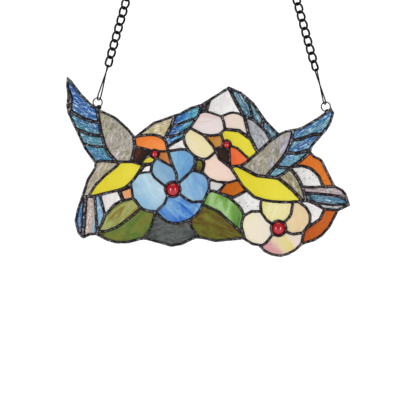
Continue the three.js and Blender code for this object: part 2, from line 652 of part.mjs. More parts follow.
// All the solder: border, beads on both faces that end inside it, bezels, ring feet and the
// fused small tiles
function solderGeometry() {
  const beads = [];
  for (const side of [-1, 1]) {
    for (const seam of seams) {
      beads.push(sweep(seam.line, beadSection(seam.width, side)));
    }
    for (const jewel of jewels) {
      const ring = circle(jewel.centre, jewel.middle, jewel.sides);
      beads.push(sweep(ring, beadSection(jewel.width, side), true));
    }
  }
  const insideBorder = sheetSolid(BORDER_LEAN, 2 * BEAD_TOP);
  const parts = [wasm.Manifold.union(beads).intersect(insideBorder)];
  parts.push(sweep(border, borderSection(), true));
  parts.push(...Object.values(SMALL_TILES).map(fusedTile));
  parts.push(...Object.values(HANGERS).map(footSolid));
  const openings = jewels.map((jewel) => drill(jewel.centre, jewel.inner, jewel.sides));
  openings.push(...Object.values(HANGERS).map(ringRoom));
  return geometryOf(wasm.Manifold.union(parts).subtract(wasm.Manifold.union(openings)));
}

// A domed jewel with a flat back and a thin flange that the bezel laps over
function jewelGeometry({ radius, rise, flange, sides }) {
  const shoulder = 0.72;
  const profile = [
    new THREE.Vector2(0, -GLASS_FACE),
    new THREE.Vector2(flange, -GLASS_FACE),
    new THREE.Vector2(flange, GLASS_FACE),
    new THREE.Vector2(radius, GLASS_FACE),
    new THREE.Vector2(radius * shoulder, GLASS_FACE + rise * shoulder),
    new THREE.Vector2(0, GLASS_FACE + rise),
  ];
  const geometry = new THREE.LatheGeometry(profile, sides);
  geometry.rotateX(Math.PI);
  return geometryOf(solidOf(geometry));
}

// A closed wire loop in a chain's own frame: long way up, turned about it by a twist that
// grows evenly from its low end to its high end. Its stations are spaced by angle, so that the
// round ends get their share of them.
class LoopCurve extends THREE.Curve {
  constructor(length, width, middle, lowTurn, highTurn) {
    super();
    Object.assign(this, { length, width, middle, lowTurn, highTurn });
  }

  getUtoTmapping(share) {
    return share;
  }

  getPoint(share, target = new THREE.Vector3()) {
    const squareness = 4;
    const endRadius = this.width / 2;
    const straight = this.length / 2 - endRadius;
    const angle = share * 2 * Math.PI;
    const across = endRadius * Math.cos(angle);
    const up = endRadius * Math.sin(angle) + straight * Math.tanh(squareness * Math.sin(angle));
    const turn = THREE.MathUtils.mapLinear(
      up, -this.length / 2, this.length / 2, this.lowTurn, this.highTurn);
    return target.set(across * Math.cos(turn), across * Math.sin(turn), this.middle + up);
  }
}

// Heights along a chain, from its ring's centre: each wire bears on the next
const QUARTER = Math.PI / 4;
const RING_TOP = (RING_DIAMETER - RING_WIRE) / 2;
const CONNECTOR_LOW = RING_TOP - (RING_WIRE + CONNECTOR_WIRE) / 2 - CONNECTOR_SLACK;
const CONNECTOR_RUN = CONNECTOR_LENGTH - CONNECTOR_WIRE;
const CONNECTOR_WIDTH = CONNECTOR_WIRE
  + (RING_WIRE + CONNECTOR_WIRE + 2 * CLEARANCE) / Math.sin(QUARTER);
const LINK_RUN = LINK_LENGTH - LINK_WIRE;
const FIRST_LINK = CONNECTOR_LOW + CONNECTOR_RUN + LINK_RUN / 2
  - (LINK_WIRE + CONNECTOR_WIRE) / 2 + LINK_BITE;
const LINK_PITCH = LINK_RUN - LINK_WIRE + LINK_BITE;
const LAST_LINK_TOP = FIRST_LINK + (LINKS - 1) * LINK_PITCH + LINK_RUN / 2;
const HOOK_LOW = LAST_LINK_TOP - (LINK_WIRE + HOOK_WIRE) / 2 - CLEARANCE;
const HOOK_BEARING = HOOK_LOW + 2 * HOOK_CROOK + HOOK_STEM - HOOK_WIRE / 2;

// A chain with its wire connector: taut links, each square to the wire end that it hangs from
function chainGeometry() {
  const connectorTop = QUARTER + CONNECTOR_TWIST;
  const connector = new LoopCurve(CONNECTOR_RUN, CONNECTOR_WIDTH - CONNECTOR_WIRE,
    CONNECTOR_LOW + CONNECTOR_RUN / 2, QUARTER, connectorTop);
  const loops = [solidOf(new THREE.TubeGeometry(
    connector, CONNECTOR_STEPS, CONNECTOR_WIRE / 2, CONNECTOR_SIDES, true))];
  for (let i = 0; i < LINKS; i++) {
    const below = i === 0 ? connectorTop : QUARTER;
    const link = new LoopCurve(LINK_RUN, LINK_WIDTH - LINK_WIRE, FIRST_LINK + i * LINK_PITCH,
      below - 2 * QUARTER, QUARTER);
    loops.push(solidOf(
      new THREE.TubeGeometry(link, LINK_STEPS, LINK_WIRE / 2, WIRE_SIDES, true)));
  }
  return geometryOf(wasm.Manifold.union(loops));
}

// An S-shaped hook: its low crook is square to the last link's end, and its stem is twisted so
// that the top crook faces the front
function hookGeometry() {
  const stations = [];
  const crookSteps = 5;
  const crookSweep = THREE.MathUtils.degToRad(200);
  const lip = THREE.MathUtils.degToRad(20);
  function addStation(angle, base, turn) {
    const across = HOOK_CROOK * Math.cos(angle);
    const up = base + HOOK_CROOK * (1 + Math.sin(angle));
    stations.push(new THREE.Vector3(across * Math.cos(turn), across * Math.sin(turn), up));
  }
  for (let i = 0; i <= crookSteps; i++) {
    addStation(lip - (i / crookSteps) * crookSweep, HOOK_LOW, -QUARTER);
  }
  for (let i = 0; i <= crookSteps; i++) {
    addStation((i / crookSteps) * crookSweep, HOOK_LOW + HOOK_STEM, 0);
  }
  const path = new THREE.CatmullRomCurve3(stations);
  const section = new THREE.Shape(circle(new THREE.Vector2(), HOOK_WIRE / 2, WIRE_SIDES));
  return new THREE.ExtrudeGeometry(
    section, { steps: HOOK_STEPS, bevelEnabled: false, extrudePath: path });
}

// Finishes
const solder = new THREE.MeshStandardMaterial({ color: 0x2d2a2c, roughness: 0.45, metalness: 0.9 });
const darkSteel = new THREE.MeshStandardMaterial({ color: 0x2a2a2c, roughness: 0.4, metalness: 0.9 });
const ruby = new THREE.MeshStandardMaterial({ color: 0xb4121e, roughness: 0.08, metalness: 0 });
function glassMaterial(colour) {
  return new THREE.MeshStandardMaterial({ color: colour, roughness: 0.15, metalness: 0 });
}

function named(name, geometry, material) {
  const mesh = new THREE.Mesh(geometry, material);
  mesh.name = name;
  return mesh;
}

// Put the panel and its hanging gear together
const panel = new THREE.Group();
panel.add(named('solder_lines', solderGeometry(), solder));
for (const [name, { inside, colour }] of Object.entries(GLASSES)) {
  panel.add(named(name, geometryOf(pieceAt(inside)), glassMaterial(colour)));
}
for (const jewel of jewels) {
  const mesh = named(jewel.name, jewelGeometry(jewel), ruby);
  mesh.position.set(jewel.centre.x, 0, jewel.centre.y);
  panel.add(mesh);
}
const bearings = [];
for (const [side, hanger] of Object.entries(HANGERS)) {
  const { x, y } = ringCentre(hanger);
  const line = new THREE.Group();
  line.position.set(x, 0, y);
  panel.add(line);
  line.add(named(`${side}_ring`, ringGeometry(RING_WIRE), darkSteel));
  const gear = new THREE.Group();
  gear.rotation.y = hanger.slant;
  gear.add(named(`${side}_chain`, chainGeometry(), darkSteel));
  gear.add(named(`${side}_hook`, hookGeometry(), darkSteel));
  line.add(gear);
  bearings.push(new THREE.Vector3(0, 0, HOOK_BEARING).applyEuler(gear.rotation).add(line.position));
}

// The origin is midway between the two places where the hooks bear on what holds them
panel.position.copy(bearings[0].add(bearings[1]).multiplyScalar(-0.5));

const root = new THREE.Group();
root.add(panel);
export default root;
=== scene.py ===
# %% [markdown]
# # A stained glass window panel with two birds and three flowers
# Pieces of coloured sheet glass are cut to a full-size drawing, and dark metal beads of solder
# hold them together. Two chains carry the panel in front of a window. The solid model gives every
# piece its place; this script gives the pieces their rounded solder, their glass and their light.

# %% Load the frame
import math

import bmesh
import bpy
from mathutils import Matrix, Vector, noise


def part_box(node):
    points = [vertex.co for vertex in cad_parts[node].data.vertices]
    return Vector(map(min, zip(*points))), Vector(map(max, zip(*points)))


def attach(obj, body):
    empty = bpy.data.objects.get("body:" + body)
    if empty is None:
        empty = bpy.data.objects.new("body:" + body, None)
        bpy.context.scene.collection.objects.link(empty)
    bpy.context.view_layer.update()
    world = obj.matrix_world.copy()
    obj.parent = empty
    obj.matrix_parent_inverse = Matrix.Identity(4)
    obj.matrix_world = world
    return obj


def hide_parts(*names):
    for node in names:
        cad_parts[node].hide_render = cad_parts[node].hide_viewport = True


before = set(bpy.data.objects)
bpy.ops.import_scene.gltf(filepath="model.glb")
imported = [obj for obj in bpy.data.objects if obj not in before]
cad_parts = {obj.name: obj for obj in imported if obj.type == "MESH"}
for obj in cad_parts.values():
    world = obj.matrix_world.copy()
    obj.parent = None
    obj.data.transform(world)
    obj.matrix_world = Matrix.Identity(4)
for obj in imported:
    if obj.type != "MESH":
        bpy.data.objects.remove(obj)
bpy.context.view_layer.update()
MM = 0.001
print("nodes in the frame:", len(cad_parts))

# %% [markdown]
# ## Small helpers
# Colours are written as the usual six-digit sRGB codes, and the renderer works in linear light,
# so one function turns one into the other. A second function adds one shader node, sets it and
# links it, which keeps each material readable from top to bottom.

# %% Helpers for colours and nodes
SRGB_KNEE = 0.04045


def colour(code):
    """A #rrggbb code as linear red, green, blue and alpha, by the two parts of the sRGB curve."""
    shares = [int(code[i:i + 2], 16) / 255 for i in (1, 3, 5)]
    linear = [s / 12.92 if s <= SRGB_KNEE else ((s + 0.055) / 1.055) ** 2.4 for s in shares]
    return (*linear, 1.0)


def add_node(material, kind, settings, sockets):
    """Add one node. A socket's value is a constant, or another node's output to link."""
    tree = material.node_tree
    node = tree.nodes.new("ShaderNode" + kind)
    for name, value in settings.items():
        if name == "stops":
            ramp = node.color_ramp
            while len(ramp.elements) < len(value):
                ramp.elements.new(1.0)
            for element, (position, code) in zip(ramp.elements, value):
                element.position = position
                element.color = colour(code)
        else:
            setattr(node, name, value)
    for name, value in sockets.items():
        if isinstance(value, bpy.types.NodeSocket):
            tree.links.new(value, node.inputs[name])
        else:
            node.inputs[name].default_value = value
    return node


def new_material(name):
    """An empty material with its output node."""
    material = bpy.data.materials.new(name)
    material.use_nodes = True
    material.node_tree.nodes.clear()
    return material


def finish_material(material, shader):
    """Link a shader to the material's output."""
    add_node(material, "OutputMaterial", {}, {"Surface": shader.outputs["BSDF"]})
    return material


# The sockets of a colour mixer share their names, so they are picked by their order
MIX_FACTOR = 0
MIX_FIRST = 6
MIX_SECOND = 7
MIX_RESULT = 2
print("helpers ready")

# %% [markdown]
# ## The full-size drawing
# Glass is cut to a full-size drawing, which the trade calls a cartoon. Ours is ruled in squares,
# and the panel is as wide as 284.8 of them. Places could be given in metres, but squares are
# easier to read off a drawing. One jewel, whose middle is known on the drawing, tells where the
# drawing lies in the model, so everything here follows the solid parts.

# %% The drawing's place
PANEL_WIDTH = 400.0
PANEL_SQUARES = 284.8
SQUARE = PANEL_WIDTH / PANEL_SQUARES * MM
BLUE_FLOWER_MIDDLE = (172.8, 189.4)
jewel_low, jewel_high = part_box("blue_flower_jewel")
jewel_middle = (jewel_low + jewel_high) / 2
drawing_corner = Vector((
    jewel_middle.x - BLUE_FLOWER_MIDDLE[0] * SQUARE, 0,
    jewel_middle.z + BLUE_FLOWER_MIDDLE[1] * SQUARE))


def on_panel(squares_right, squares_down, depth=0.0):
    """A point of the drawing as a place in the model."""
    return drawing_corner + Vector((squares_right * SQUARE, depth, -squares_down * SQUARE))


print("drawing's corner:", [round(v, 4) for v in drawing_corner])

# %% [markdown]
# ## Camera
# The panel hangs flat and is seen straight on. A wide lens close by would stretch its edges, so a
# long lens looks at it from further away, which keeps the chains and the glass in true proportion.

# %% Camera
LENS = 85.0
VIEW_MIDDLE = (208, 208)
CAMERA_AIM = on_panel(*VIEW_MIDDLE)
CAMERA_DISTANCE = 1.380

camera_data = bpy.data.cameras.new("camera")
camera_data.lens = LENS
camera = bpy.data.objects.new("camera", camera_data)
camera.location = CAMERA_AIM + Vector((0, -CAMERA_DISTANCE, 0))
camera.rotation_euler = (math.radians(90), 0, 0)
bpy.context.scene.collection.objects.link(camera)
bpy.context.scene.camera = camera
print("camera at", tuple(round(v, 3) for v in camera.location))

# %% [markdown]
# ## Floor and backdrop
# Glass shows the colour of the light that comes through it, so the backdrop is as important as
# the lamps. One white sheet runs along the floor and curves up behind the panel. A floor and a
# wall would show a line where they meet, so one edge is pulled along the floor, spun through a
# quarter turn and pulled up the wall.

# %% Floor and backdrop
FLOOR_LEVEL = -0.75
FLOOR_HALF_WIDTH = 4.0
FLOOR_FRONT = -4.0
SWEEP_START = 1.9
SWEEP_RADIUS = 0.9
SWEEP_STEPS = 24
WALL_HEIGHT = 2.5
SHEET_MERGE = 0.01 * MM

sheet = bmesh.new()
left = sheet.verts.new((-FLOOR_HALF_WIDTH, FLOOR_FRONT, FLOOR_LEVEL))
right = sheet.verts.new((FLOOR_HALF_WIDTH, FLOOR_FRONT, FLOOR_LEVEL))
rim = [sheet.edges.new((left, right))]


def pull(edges, step):
    """Extrude an edge of the sheet by a step and return the new edge."""
    made = bmesh.ops.extrude_edge_only(sheet, edges=edges)["geom"]
    corners = [g for g in made if isinstance(g, bmesh.types.BMVert)]
    bmesh.ops.translate(sheet, verts=corners, vec=step)
    return [g for g in made if isinstance(g, bmesh.types.BMEdge)]


rim = pull(rim, (0, SWEEP_START - FLOOR_FRONT, 0))
turned = bmesh.ops.spin(
    sheet, geom=rim, cent=(0, SWEEP_START, FLOOR_LEVEL + SWEEP_RADIUS), axis=(1, 0, 0),
    angle=math.radians(90), steps=SWEEP_STEPS)
rim = [g for g in turned["geom_last"] if isinstance(g, bmesh.types.BMEdge)]
rim = pull(rim, (0, 0, WALL_HEIGHT))
bmesh.ops.remove_doubles(sheet, verts=sheet.verts, dist=SHEET_MERGE)
bmesh.ops.recalc_face_normals(sheet, faces=sheet.faces)
backdrop_mesh = bpy.data.meshes.new("backdrop")
sheet.to_mesh(backdrop_mesh)
sheet.free()
backdrop = bpy.data.objects.new("backdrop", backdrop_mesh)
bpy.context.scene.collection.objects.link(backdrop)
backdrop_mesh.polygons.foreach_set("use_smooth", [True] * len(backdrop_mesh.polygons))

# Matt white paper: very rough, so it spreads light evenly and shows no lamp in it
white_sheet = new_material("matt_white_sheet")
finish_material(white_sheet, add_node(white_sheet, "BsdfPrincipled", {}, {
    "Base Color": colour("#fafafa"), "Roughness": 0.9}))
backdrop_mesh.materials.append(white_sheet)
print("backdrop faces:", len(backdrop_mesh.polygons))

# %% [markdown]
# ## Lights
# Two upright softboxes stand to the left and right of the camera and give each jewel its pair of
# highlights. Bare lamps would make hard spots on the wavy glass, so all the lights are wide. Two
# large ones wash the backdrop and the floor until they are plain white behind the glass.

# %% Lights
SOFTBOX_WIDTH = 0.4
SOFTBOX_HEIGHT = 0.65
SOFTBOX_POWER = 9.0
SOFTBOX_ANGLE = math.radians(34)
SOFTBOX_DISTANCE = 1.5
WASH_SIZE = 2.0
BACKDROP_LIGHT_PLACE = Vector((0, 0.7, 1.6))
BACKDROP_LIGHT_AIM = Vector((0, 2.2, -0.4))
BACKDROP_LIGHT_POWER = 46.0
FLOOR_LIGHT_PLACE = Vector((0, -0.3, 2.4))
FLOOR_LIGHT_AIM = Vector((0, 0.2, -0.75))
FLOOR_LIGHT_POWER = 22.0
SKY_STRENGTH = 0.3

world = bpy.data.worlds.new("studio")
world.use_nodes = True
world.node_tree.nodes["Background"].inputs["Color"].default_value = colour("#ffffff")
world.node_tree.nodes["Background"].inputs["Strength"].default_value = SKY_STRENGTH
bpy.context.scene.world = world
bpy.context.scene.view_settings.view_transform = "Standard"


def add_softbox(name, place, aim, width, height, power):
    """An area light at a place, turned to face what it lights."""
    lamp = bpy.data.lights.new(name, "AREA")
    lamp.shape = "RECTANGLE"
    lamp.size = width
    lamp.size_y = height
    lamp.energy = power
    box = bpy.data.objects.new(name, lamp)
    box.location = place
    box.rotation_euler = (aim - place).to_track_quat("-Z", "Y").to_euler()
    box.visible_camera = False
    bpy.context.scene.collection.objects.link(box)


for name, side in (("left_softbox", -1), ("right_softbox", 1)):
    place = CAMERA_AIM + SOFTBOX_DISTANCE * Vector(
        (side * math.sin(SOFTBOX_ANGLE), -math.cos(SOFTBOX_ANGLE), 0))
    add_softbox(name, place, CAMERA_AIM, SOFTBOX_WIDTH, SOFTBOX_HEIGHT, SOFTBOX_POWER)
add_softbox(
    "backdrop_light", BACKDROP_LIGHT_PLACE, BACKDROP_LIGHT_AIM, WASH_SIZE, WASH_SIZE,
    BACKDROP_LIGHT_POWER)
add_softbox(
    "floor_light", FLOOR_LIGHT_PLACE, FLOOR_LIGHT_AIM, WASH_SIZE, WASH_SIZE, FLOOR_LIGHT_POWER)

# %% [markdown]
# ## From bmesh to finished piece
# Every new piece goes the same way: a bmesh becomes a mesh, gets its material and takes the place
# of one or more solid nodes. One function does that, so that no step is forgotten. Two more turn
# modifiers into plain mesh and make an upright block from its corners on the drawing.

# %% Tools for finished pieces


def shown_object(name, shape, material, slot, *nodes):
    """Make a piece from a bmesh, smooth shaded, riding on the panel in place of its nodes."""
    mesh = bpy.data.meshes.new(name)
    shape.to_mesh(mesh)
    shape.free()
    piece = bpy.data.objects.new(name, mesh)
    bpy.context.scene.collection.objects.link(piece)
    mesh.polygons.foreach_set("use_smooth", [True] * len(mesh.polygons))
    if material:
        mesh.materials.append(material)
    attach(piece, "root")
    if nodes:
        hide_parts(*nodes)
    return piece


def apply_modifiers(piece):
    """Turn a piece's live modifiers into its mesh."""
    settled = bpy.context.evaluated_depsgraph_get()
    mesh = bpy.data.meshes.new_from_object(piece.evaluated_get(settled))
    piece.modifiers.clear()
    old = piece.data
    piece.data = mesh
    bpy.data.meshes.remove(old)


def prism(corners, near, far):
    """A closed upright block in the panel's plane, from its corners on the drawing."""
    block = bmesh.new()
    verts = [block.verts.new(on_panel(*corner, near)) for corner in corners]
    face = block.faces.new(verts)
    made = bmesh.ops.extrude_face_region(block, geom=[face])["geom"]
    bmesh.ops.translate(
        block, verts=[g for g in made if isinstance(g, bmesh.types.BMVert)], vec=(0, far - near, 0))
    bmesh.ops.recalc_face_normals(block, faces=block.faces)
    return block


print("tools ready")

# %% [markdown]
# ## Sizes off the drawing
# Four glasses are so small that the solid model has them inside its solder. Their corners are
# read off the drawing, and so are the middles of the round jewels, because the solder needs
# a room cut for each of them.

# %% Small tiles and jewels
GLASS_FACE = 1.5 * MM
BEAD_FOOT = 1.8 * MM
# The four smallest glasses, by their corners on the drawing
TILES = {
    "clear_tile_under_throat": [(141.3, 172.3), (145.4, 166.9), (150.6, 165.6), (149.6, 171.8)],
    "clear_tile_by_orange": [(209.6, 183.4), (211.4, 180.9), (224.3, 184.3), (217.2, 190.8),
                             (210.2, 189.8)],
    "orange_tile": [(122.0, 191.6), (130.7, 188.6), (131.9, 197.6), (124.8, 199.4)],
    "olive_tile": [(197.0, 160.3), (201.6, 161.0), (202.3, 165.0), (201.2, 171.2), (196.0, 170.6)],
}
# The jewels, by node: the middle on the drawing, the radius, the rise and the bezel's width
JEWELS = {
    "blue_flower_jewel": ((172.8, 189.4), 9.0 * MM, 4.5 * MM, 3.6 * MM),
    "cream_flower_jewel": ((278.5, 228.3), 9.0 * MM, 4.5 * MM, 3.6 * MM),
    "left_bird_eye": ((154.7, 154.0), 5.0 * MM, 3.0 * MM, 2.6 * MM),
    "right_bird_eye": ((226.6, 144.6), 5.0 * MM, 3.0 * MM, 2.6 * MM),
}
print("tiles and jewels:", len(TILES) + len(JEWELS))

# %% [markdown]
# ## Dark wire
# The chains, hooks and rings are steel and tinned wire that was darkened in a bath. The bath
# takes unevenly, so one flat grey would look like paint. A noise sets two tones in soft patches,
# a brighter one where handling has polished the wire, and a finer noise makes the skin uneven.

# %% Material for dark wire


def metal(name, dark, light, sheen, patch, roughness, bump):
    """Darkened metal: two tones in soft patches of a given size, and a fine uneven skin."""
    material = new_material(name)
    where = add_node(material, "TexCoord", {}, {}).outputs["Object"]
    patches = add_node(material, "TexNoise", {}, {
        "Vector": where, "Scale": 1 / patch, "Detail": 5.0, "Roughness": 0.65})
    tone = add_node(material, "ValToRGB", {"stops": [(0.32, dark), (0.58, light), (0.78, sheen)]}, {
        "Fac": patches.outputs["Fac"]})
    skin = add_node(material, "TexNoise", {}, {
        "Vector": where, "Scale": 2.2 / patch, "Detail": 3.0, "Roughness": 0.6})
    raised = add_node(material, "Bump", {}, {
        "Height": skin.outputs["Fac"], "Strength": 1.0, "Distance": bump})
    polish = add_node(material, "MapRange", {}, {
        "Value": patches.outputs["Fac"], "To Min": roughness + 0.12, "To Max": roughness - 0.1})
    return finish_material(material, add_node(material, "BsdfPrincipled", {}, {
        "Base Color": tone.outputs["Color"], "Metallic": 1.0, "Specular Tint": colour("#6a6a6a"),
        "Roughness": polish.outputs["Result"], "Normal": raised.outputs["Normal"]}))


# Steel wire blackened in a chemical bath: almost black, with small soft highlights. Its real grain is
# finer than a tenth of a millimetre, and the patches are drawn at 2.5 mm so that they show.
blackened_steel = metal(
    "blackened_steel", "#141415", "#262628", "#56565a", 2.5 * MM, 0.36, 0.06 * MM)
# Tinned copper wire under the same bath: a shade greyer than the chains, because tin stays bright
ring_wire = metal("tinned_wire", "#1a191b", "#302f31", "#646365", 3.0 * MM, 0.36, 0.05 * MM)
print("wire metals:", blackened_steel.name, ring_wire.name)

# %% [markdown]
# ## Patinated solder
# Bare solder is silvery. A patina turns it nearly black, and wiping the panel clean rubs it thin
# on top of each bead. An even dark metal would look like lead strips. Here the height above the
# panel's middle tells where a bead's crown is, and a noise picks the grains on it that are rubbed
# bare. The same height also paints light and shade into the colour: the crowns are lightened as a
# painted highlight, so the lines sparkle a little, and the low sides of each bead are darkened as
# painted shade.

# %% Material for solder
CROWN_LOW = 2.5 * MM
CROWN_HIGH = 3.7 * MM
# The grains are drawn at 2.6 mm and the skin at 1.8 mm, coarser than real so that they show
GRAIN_SIZE = 2.6 * MM
SKIN_SIZE = 1.8 * MM
# Tin and lead solder under black patina: dark beside the glass, where the dark is partly painted
# shade, and grey on the crowns, where rubbed patina carries a painted highlight
patinated_solder = new_material("patinated_solder")
where = add_node(patinated_solder, "TexCoord", {}, {}).outputs["Object"]
depth = add_node(patinated_solder, "SeparateXYZ", {}, {"Vector": where}).outputs["Y"]
height = add_node(patinated_solder, "Math", {"operation": "ABSOLUTE"}, {0: depth}).outputs["Value"]
# The height mask lightens the top of each bead: rubbed patina, with a painted highlight on it
crown_wear_and_highlight = add_node(patinated_solder, "MapRange", {}, {
    "Value": height, "From Min": CROWN_LOW, "From Max": CROWN_HIGH}).outputs["Result"]
grains = add_node(patinated_solder, "TexNoise", {}, {
    "Vector": where, "Scale": 1 / GRAIN_SIZE, "Detail": 3.0, "Roughness": 0.6}).outputs["Fac"]
rubbed = add_node(patinated_solder, "MapRange", {}, {
    "Value": grains, "From Min": 0.42, "From Max": 0.72}).outputs["Result"]
rubbed_and_highlight = add_node(patinated_solder, "Math", {"operation": "MULTIPLY"}, {
    0: crown_wear_and_highlight, 1: rubbed}).outputs["Value"]
# Low on the bead the dark stops are painted shade over the patina, and on the crowns the light stops
# are a painted highlight over rubbed patina
patina_shade_and_highlight = add_node(patinated_solder, "ValToRGB", {
    "stops": [(0.0, "#1f1c1f"), (0.25, "#353235"), (0.6, "#706b6f"), (0.95, "#a29da0")]}, {"Fac": rubbed_and_highlight})
polish = add_node(patinated_solder, "MapRange", {}, {"Value": rubbed_and_highlight, "To Min": 0.5, "To Max": 0.28})
skin = add_node(patinated_solder, "TexNoise", {}, {
    "Vector": where, "Scale": 1 / SKIN_SIZE, "Detail": 3.0, "Roughness": 0.6})
raised = add_node(patinated_solder, "Bump", {}, {
    "Height": skin.outputs["Fac"], "Strength": 1.0, "Distance": 0.35 * MM})
finish_material(patinated_solder, add_node(patinated_solder, "BsdfPrincipled", {}, {
    "Base Color": patina_shade_and_highlight.outputs["Color"], "Metallic": 1.0,
    "Roughness": polish.outputs["Result"], "Normal": raised.outputs["Normal"]}))
print("solder's material:", patinated_solder.name)

# %% [markdown]
# ## The solder network
# Copper foil is folded round every piece of glass, and melted solder is run along the joints on
# both faces until it stands up in a smooth bead. The solid model has straight, three-cornered
# beads, and bevelling hundreds of their edges would leave creases where they meet. So rooms for the
# small glasses and the jewels are cut in a copy of them, and the copy is remeshed in small cubes
# and smoothed. That rounds the beads and lets them flow into each other, as melted metal does.

# %% Solder network
VOXEL = 0.65 * MM
SMOOTHING = 0.5
SMOOTHING_ROUNDS = 5
ROOM_MARGIN = 0.2 * MM
CUTTER_DEPTH = 20 * MM
CUTTER_SIDES = 48
SOLDER_MERGE = 0.001 * MM

network = bmesh.new()
network.from_mesh(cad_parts["solder_lines"].data)
bmesh.ops.remove_doubles(network, verts=network.verts, dist=SOLDER_MERGE)
solder = shown_object("solder_network", network, patinated_solder, "patinated_solder", "solder_lines")

cutters = bmesh.new()
for corners in TILES.values():
    block = prism(corners, -BEAD_FOOT - ROOM_MARGIN, BEAD_FOOT + ROOM_MARGIN)
    spare = bpy.data.meshes.new("spare")
    block.to_mesh(spare)
    block.free()
    cutters.from_mesh(spare)
    bpy.data.meshes.remove(spare)
for middle, radius, rise, bezel in JEWELS.values():
    made = bmesh.ops.create_cone(
        cutters, cap_ends=True, segments=CUTTER_SIDES, radius1=radius + bezel / 2,
        radius2=radius + bezel / 2, depth=CUTTER_DEPTH)
    bmesh.ops.rotate(cutters, verts=made["verts"], matrix=Matrix.Rotation(math.radians(90), 3, "X"))
    bmesh.ops.translate(cutters, verts=made["verts"], vec=on_panel(*middle))
cutter_mesh = bpy.data.meshes.new("cutters")
cutters.to_mesh(cutter_mesh)
cutters.free()
cutter = bpy.data.objects.new("cutters", cutter_mesh)
bpy.context.scene.collection.objects.link(cutter)
cut = solder.modifiers.new("rooms", "BOOLEAN")
cut.operation = "DIFFERENCE"
cut.solver = "EXACT"
cut.object = cutter
cubes = solder.modifiers.new("cubes", "REMESH")
cubes.mode = "VOXEL"
cubes.voxel_size = VOXEL
rounding = solder.modifiers.new("rounding", "SMOOTH")
rounding.factor = SMOOTHING
rounding.iterations = SMOOTHING_ROUNDS
apply_modifiers(solder)
bpy.data.objects.remove(cutter)
print("solder faces after remeshing:", len(solder.data.polygons))

# %% [markdown]
# ## Lumps in the solder
# Solder is run by hand, so no bead is quite even. Smoothing has also made the beads thinner. Each
# vertex moves outwards along its normal by what the smoothing took, more or less by a soft noise.
# A bump in the material would leave the outline straight, so the mesh itself is moved. Then it is
# thinned to keep the piece light.

# %% Lumps in the solder
SWELL = 0.42 * MM
LUMP_SIZE = 4.5 * MM
LUMP_HEIGHT = 0.3 * MM
LUMP_FALL = 1.0
LUMP_SPREAD = 2.0
LUMP_LAYERS = 2
SOLDER_TRIANGLES = 190000

solder.data.polygons.foreach_set("use_smooth", [True] * len(solder.data.polygons))
lumpy = bmesh.new()
lumpy.from_mesh(solder.data)
lumpy.normal_update()
moves = [
    vert.normal * (SWELL + LUMP_HEIGHT * noise.fractal(
        vert.co / LUMP_SIZE, LUMP_FALL, LUMP_SPREAD, LUMP_LAYERS))
    for vert in lumpy.verts
]
for vert, move in zip(lumpy.verts, moves):
    vert.co += move
lumpy.to_mesh(solder.data)
lumpy.free()
triangles = sum(len(face.vertices) - 2 for face in solder.data.polygons)
thinning = solder.modifiers.new("thinning", "DECIMATE")
thinning.ratio = min(1.0, SOLDER_TRIANGLES / triangles)
apply_modifiers(solder)
print("solder triangles:", sum(len(face.vertices) - 2 for face in solder.data.polygons))

# %% [markdown]
# ## Jewels and their bezels
# A glass jewel is a pressed dome with a flat back. It is wrapped in foil like any other piece,
# and a round bead of solder laps over its edge. A squashed ball would have the wrong edge. Both
# are turned shapes, so each starts from half of its section and is spun about the jewel's middle.

# %% Turned pieces
TURN_STEPS = 56
TURNED_MERGE = 0.002 * MM


def turned_piece(name, profile, centre, material, slot, *nodes):
    """Spin a closed half-section of (radius, depth) about the line through the panel."""
    shape = bmesh.new()
    verts = [shape.verts.new((radius, depth, 0)) for radius, depth in profile]
    edges = [shape.edges.new((a, b)) for a, b in zip(verts, verts[1:])]
    bmesh.ops.spin(
        shape, geom=verts + edges, cent=(0, 0, 0), axis=(0, 1, 0), angle=2 * math.pi,
        steps=TURN_STEPS, use_merge=True)
    bmesh.ops.remove_doubles(shape, verts=shape.verts, dist=TURNED_MERGE)
    bmesh.ops.recalc_face_normals(shape, faces=shape.faces)
    bmesh.ops.translate(shape, verts=shape.verts, vec=centre)
    return shown_object(name, shape, material, slot, *nodes)


print("steps in a turn:", TURN_STEPS)

# %% Sections of a jewel and its bezel
DOME_STEPS = 12
BEZEL_STEPS = 10
BEZEL_WALL = 0.8 * MM
BEZEL_HEIGHT = 1.7 * MM
BEZEL_LAP = 0.2 * MM


def dome_profile(radius, rise):
    """Half-section of a jewel: a flat back, a straight edge and a round dome at the front."""
    ball = (radius ** 2 + rise ** 2) / (2 * rise)
    reach = math.asin(radius / ball)
    points = [(0, GLASS_FACE), (radius, GLASS_FACE)]
    for i in range(DOME_STEPS + 1):
        angle = reach * (1 - i / DOME_STEPS)
        points.append((ball * math.sin(angle), -GLASS_FACE - rise + ball * (1 - math.cos(angle))))
    return points


def bezel_profile(inner, width):
    """Section of a round bead on each face of the panel, joined through its thickness."""
    front = []
    for i in range(BEZEL_STEPS + 1):
        angle = math.pi * i / BEZEL_STEPS
        out = inner + width / 2 + width / 2 * math.cos(angle)
        front.append((out, -BEAD_FOOT - BEZEL_HEIGHT * math.sin(angle)))
    back = [(radius, -depth) for radius, depth in reversed(front)]
    wall = inner + BEZEL_WALL
    return front + [(wall, -BEAD_FOOT), (wall, BEAD_FOOT)] + back + [front[0]]


print("steps in a dome and in a bead:", DOME_STEPS, BEZEL_STEPS)

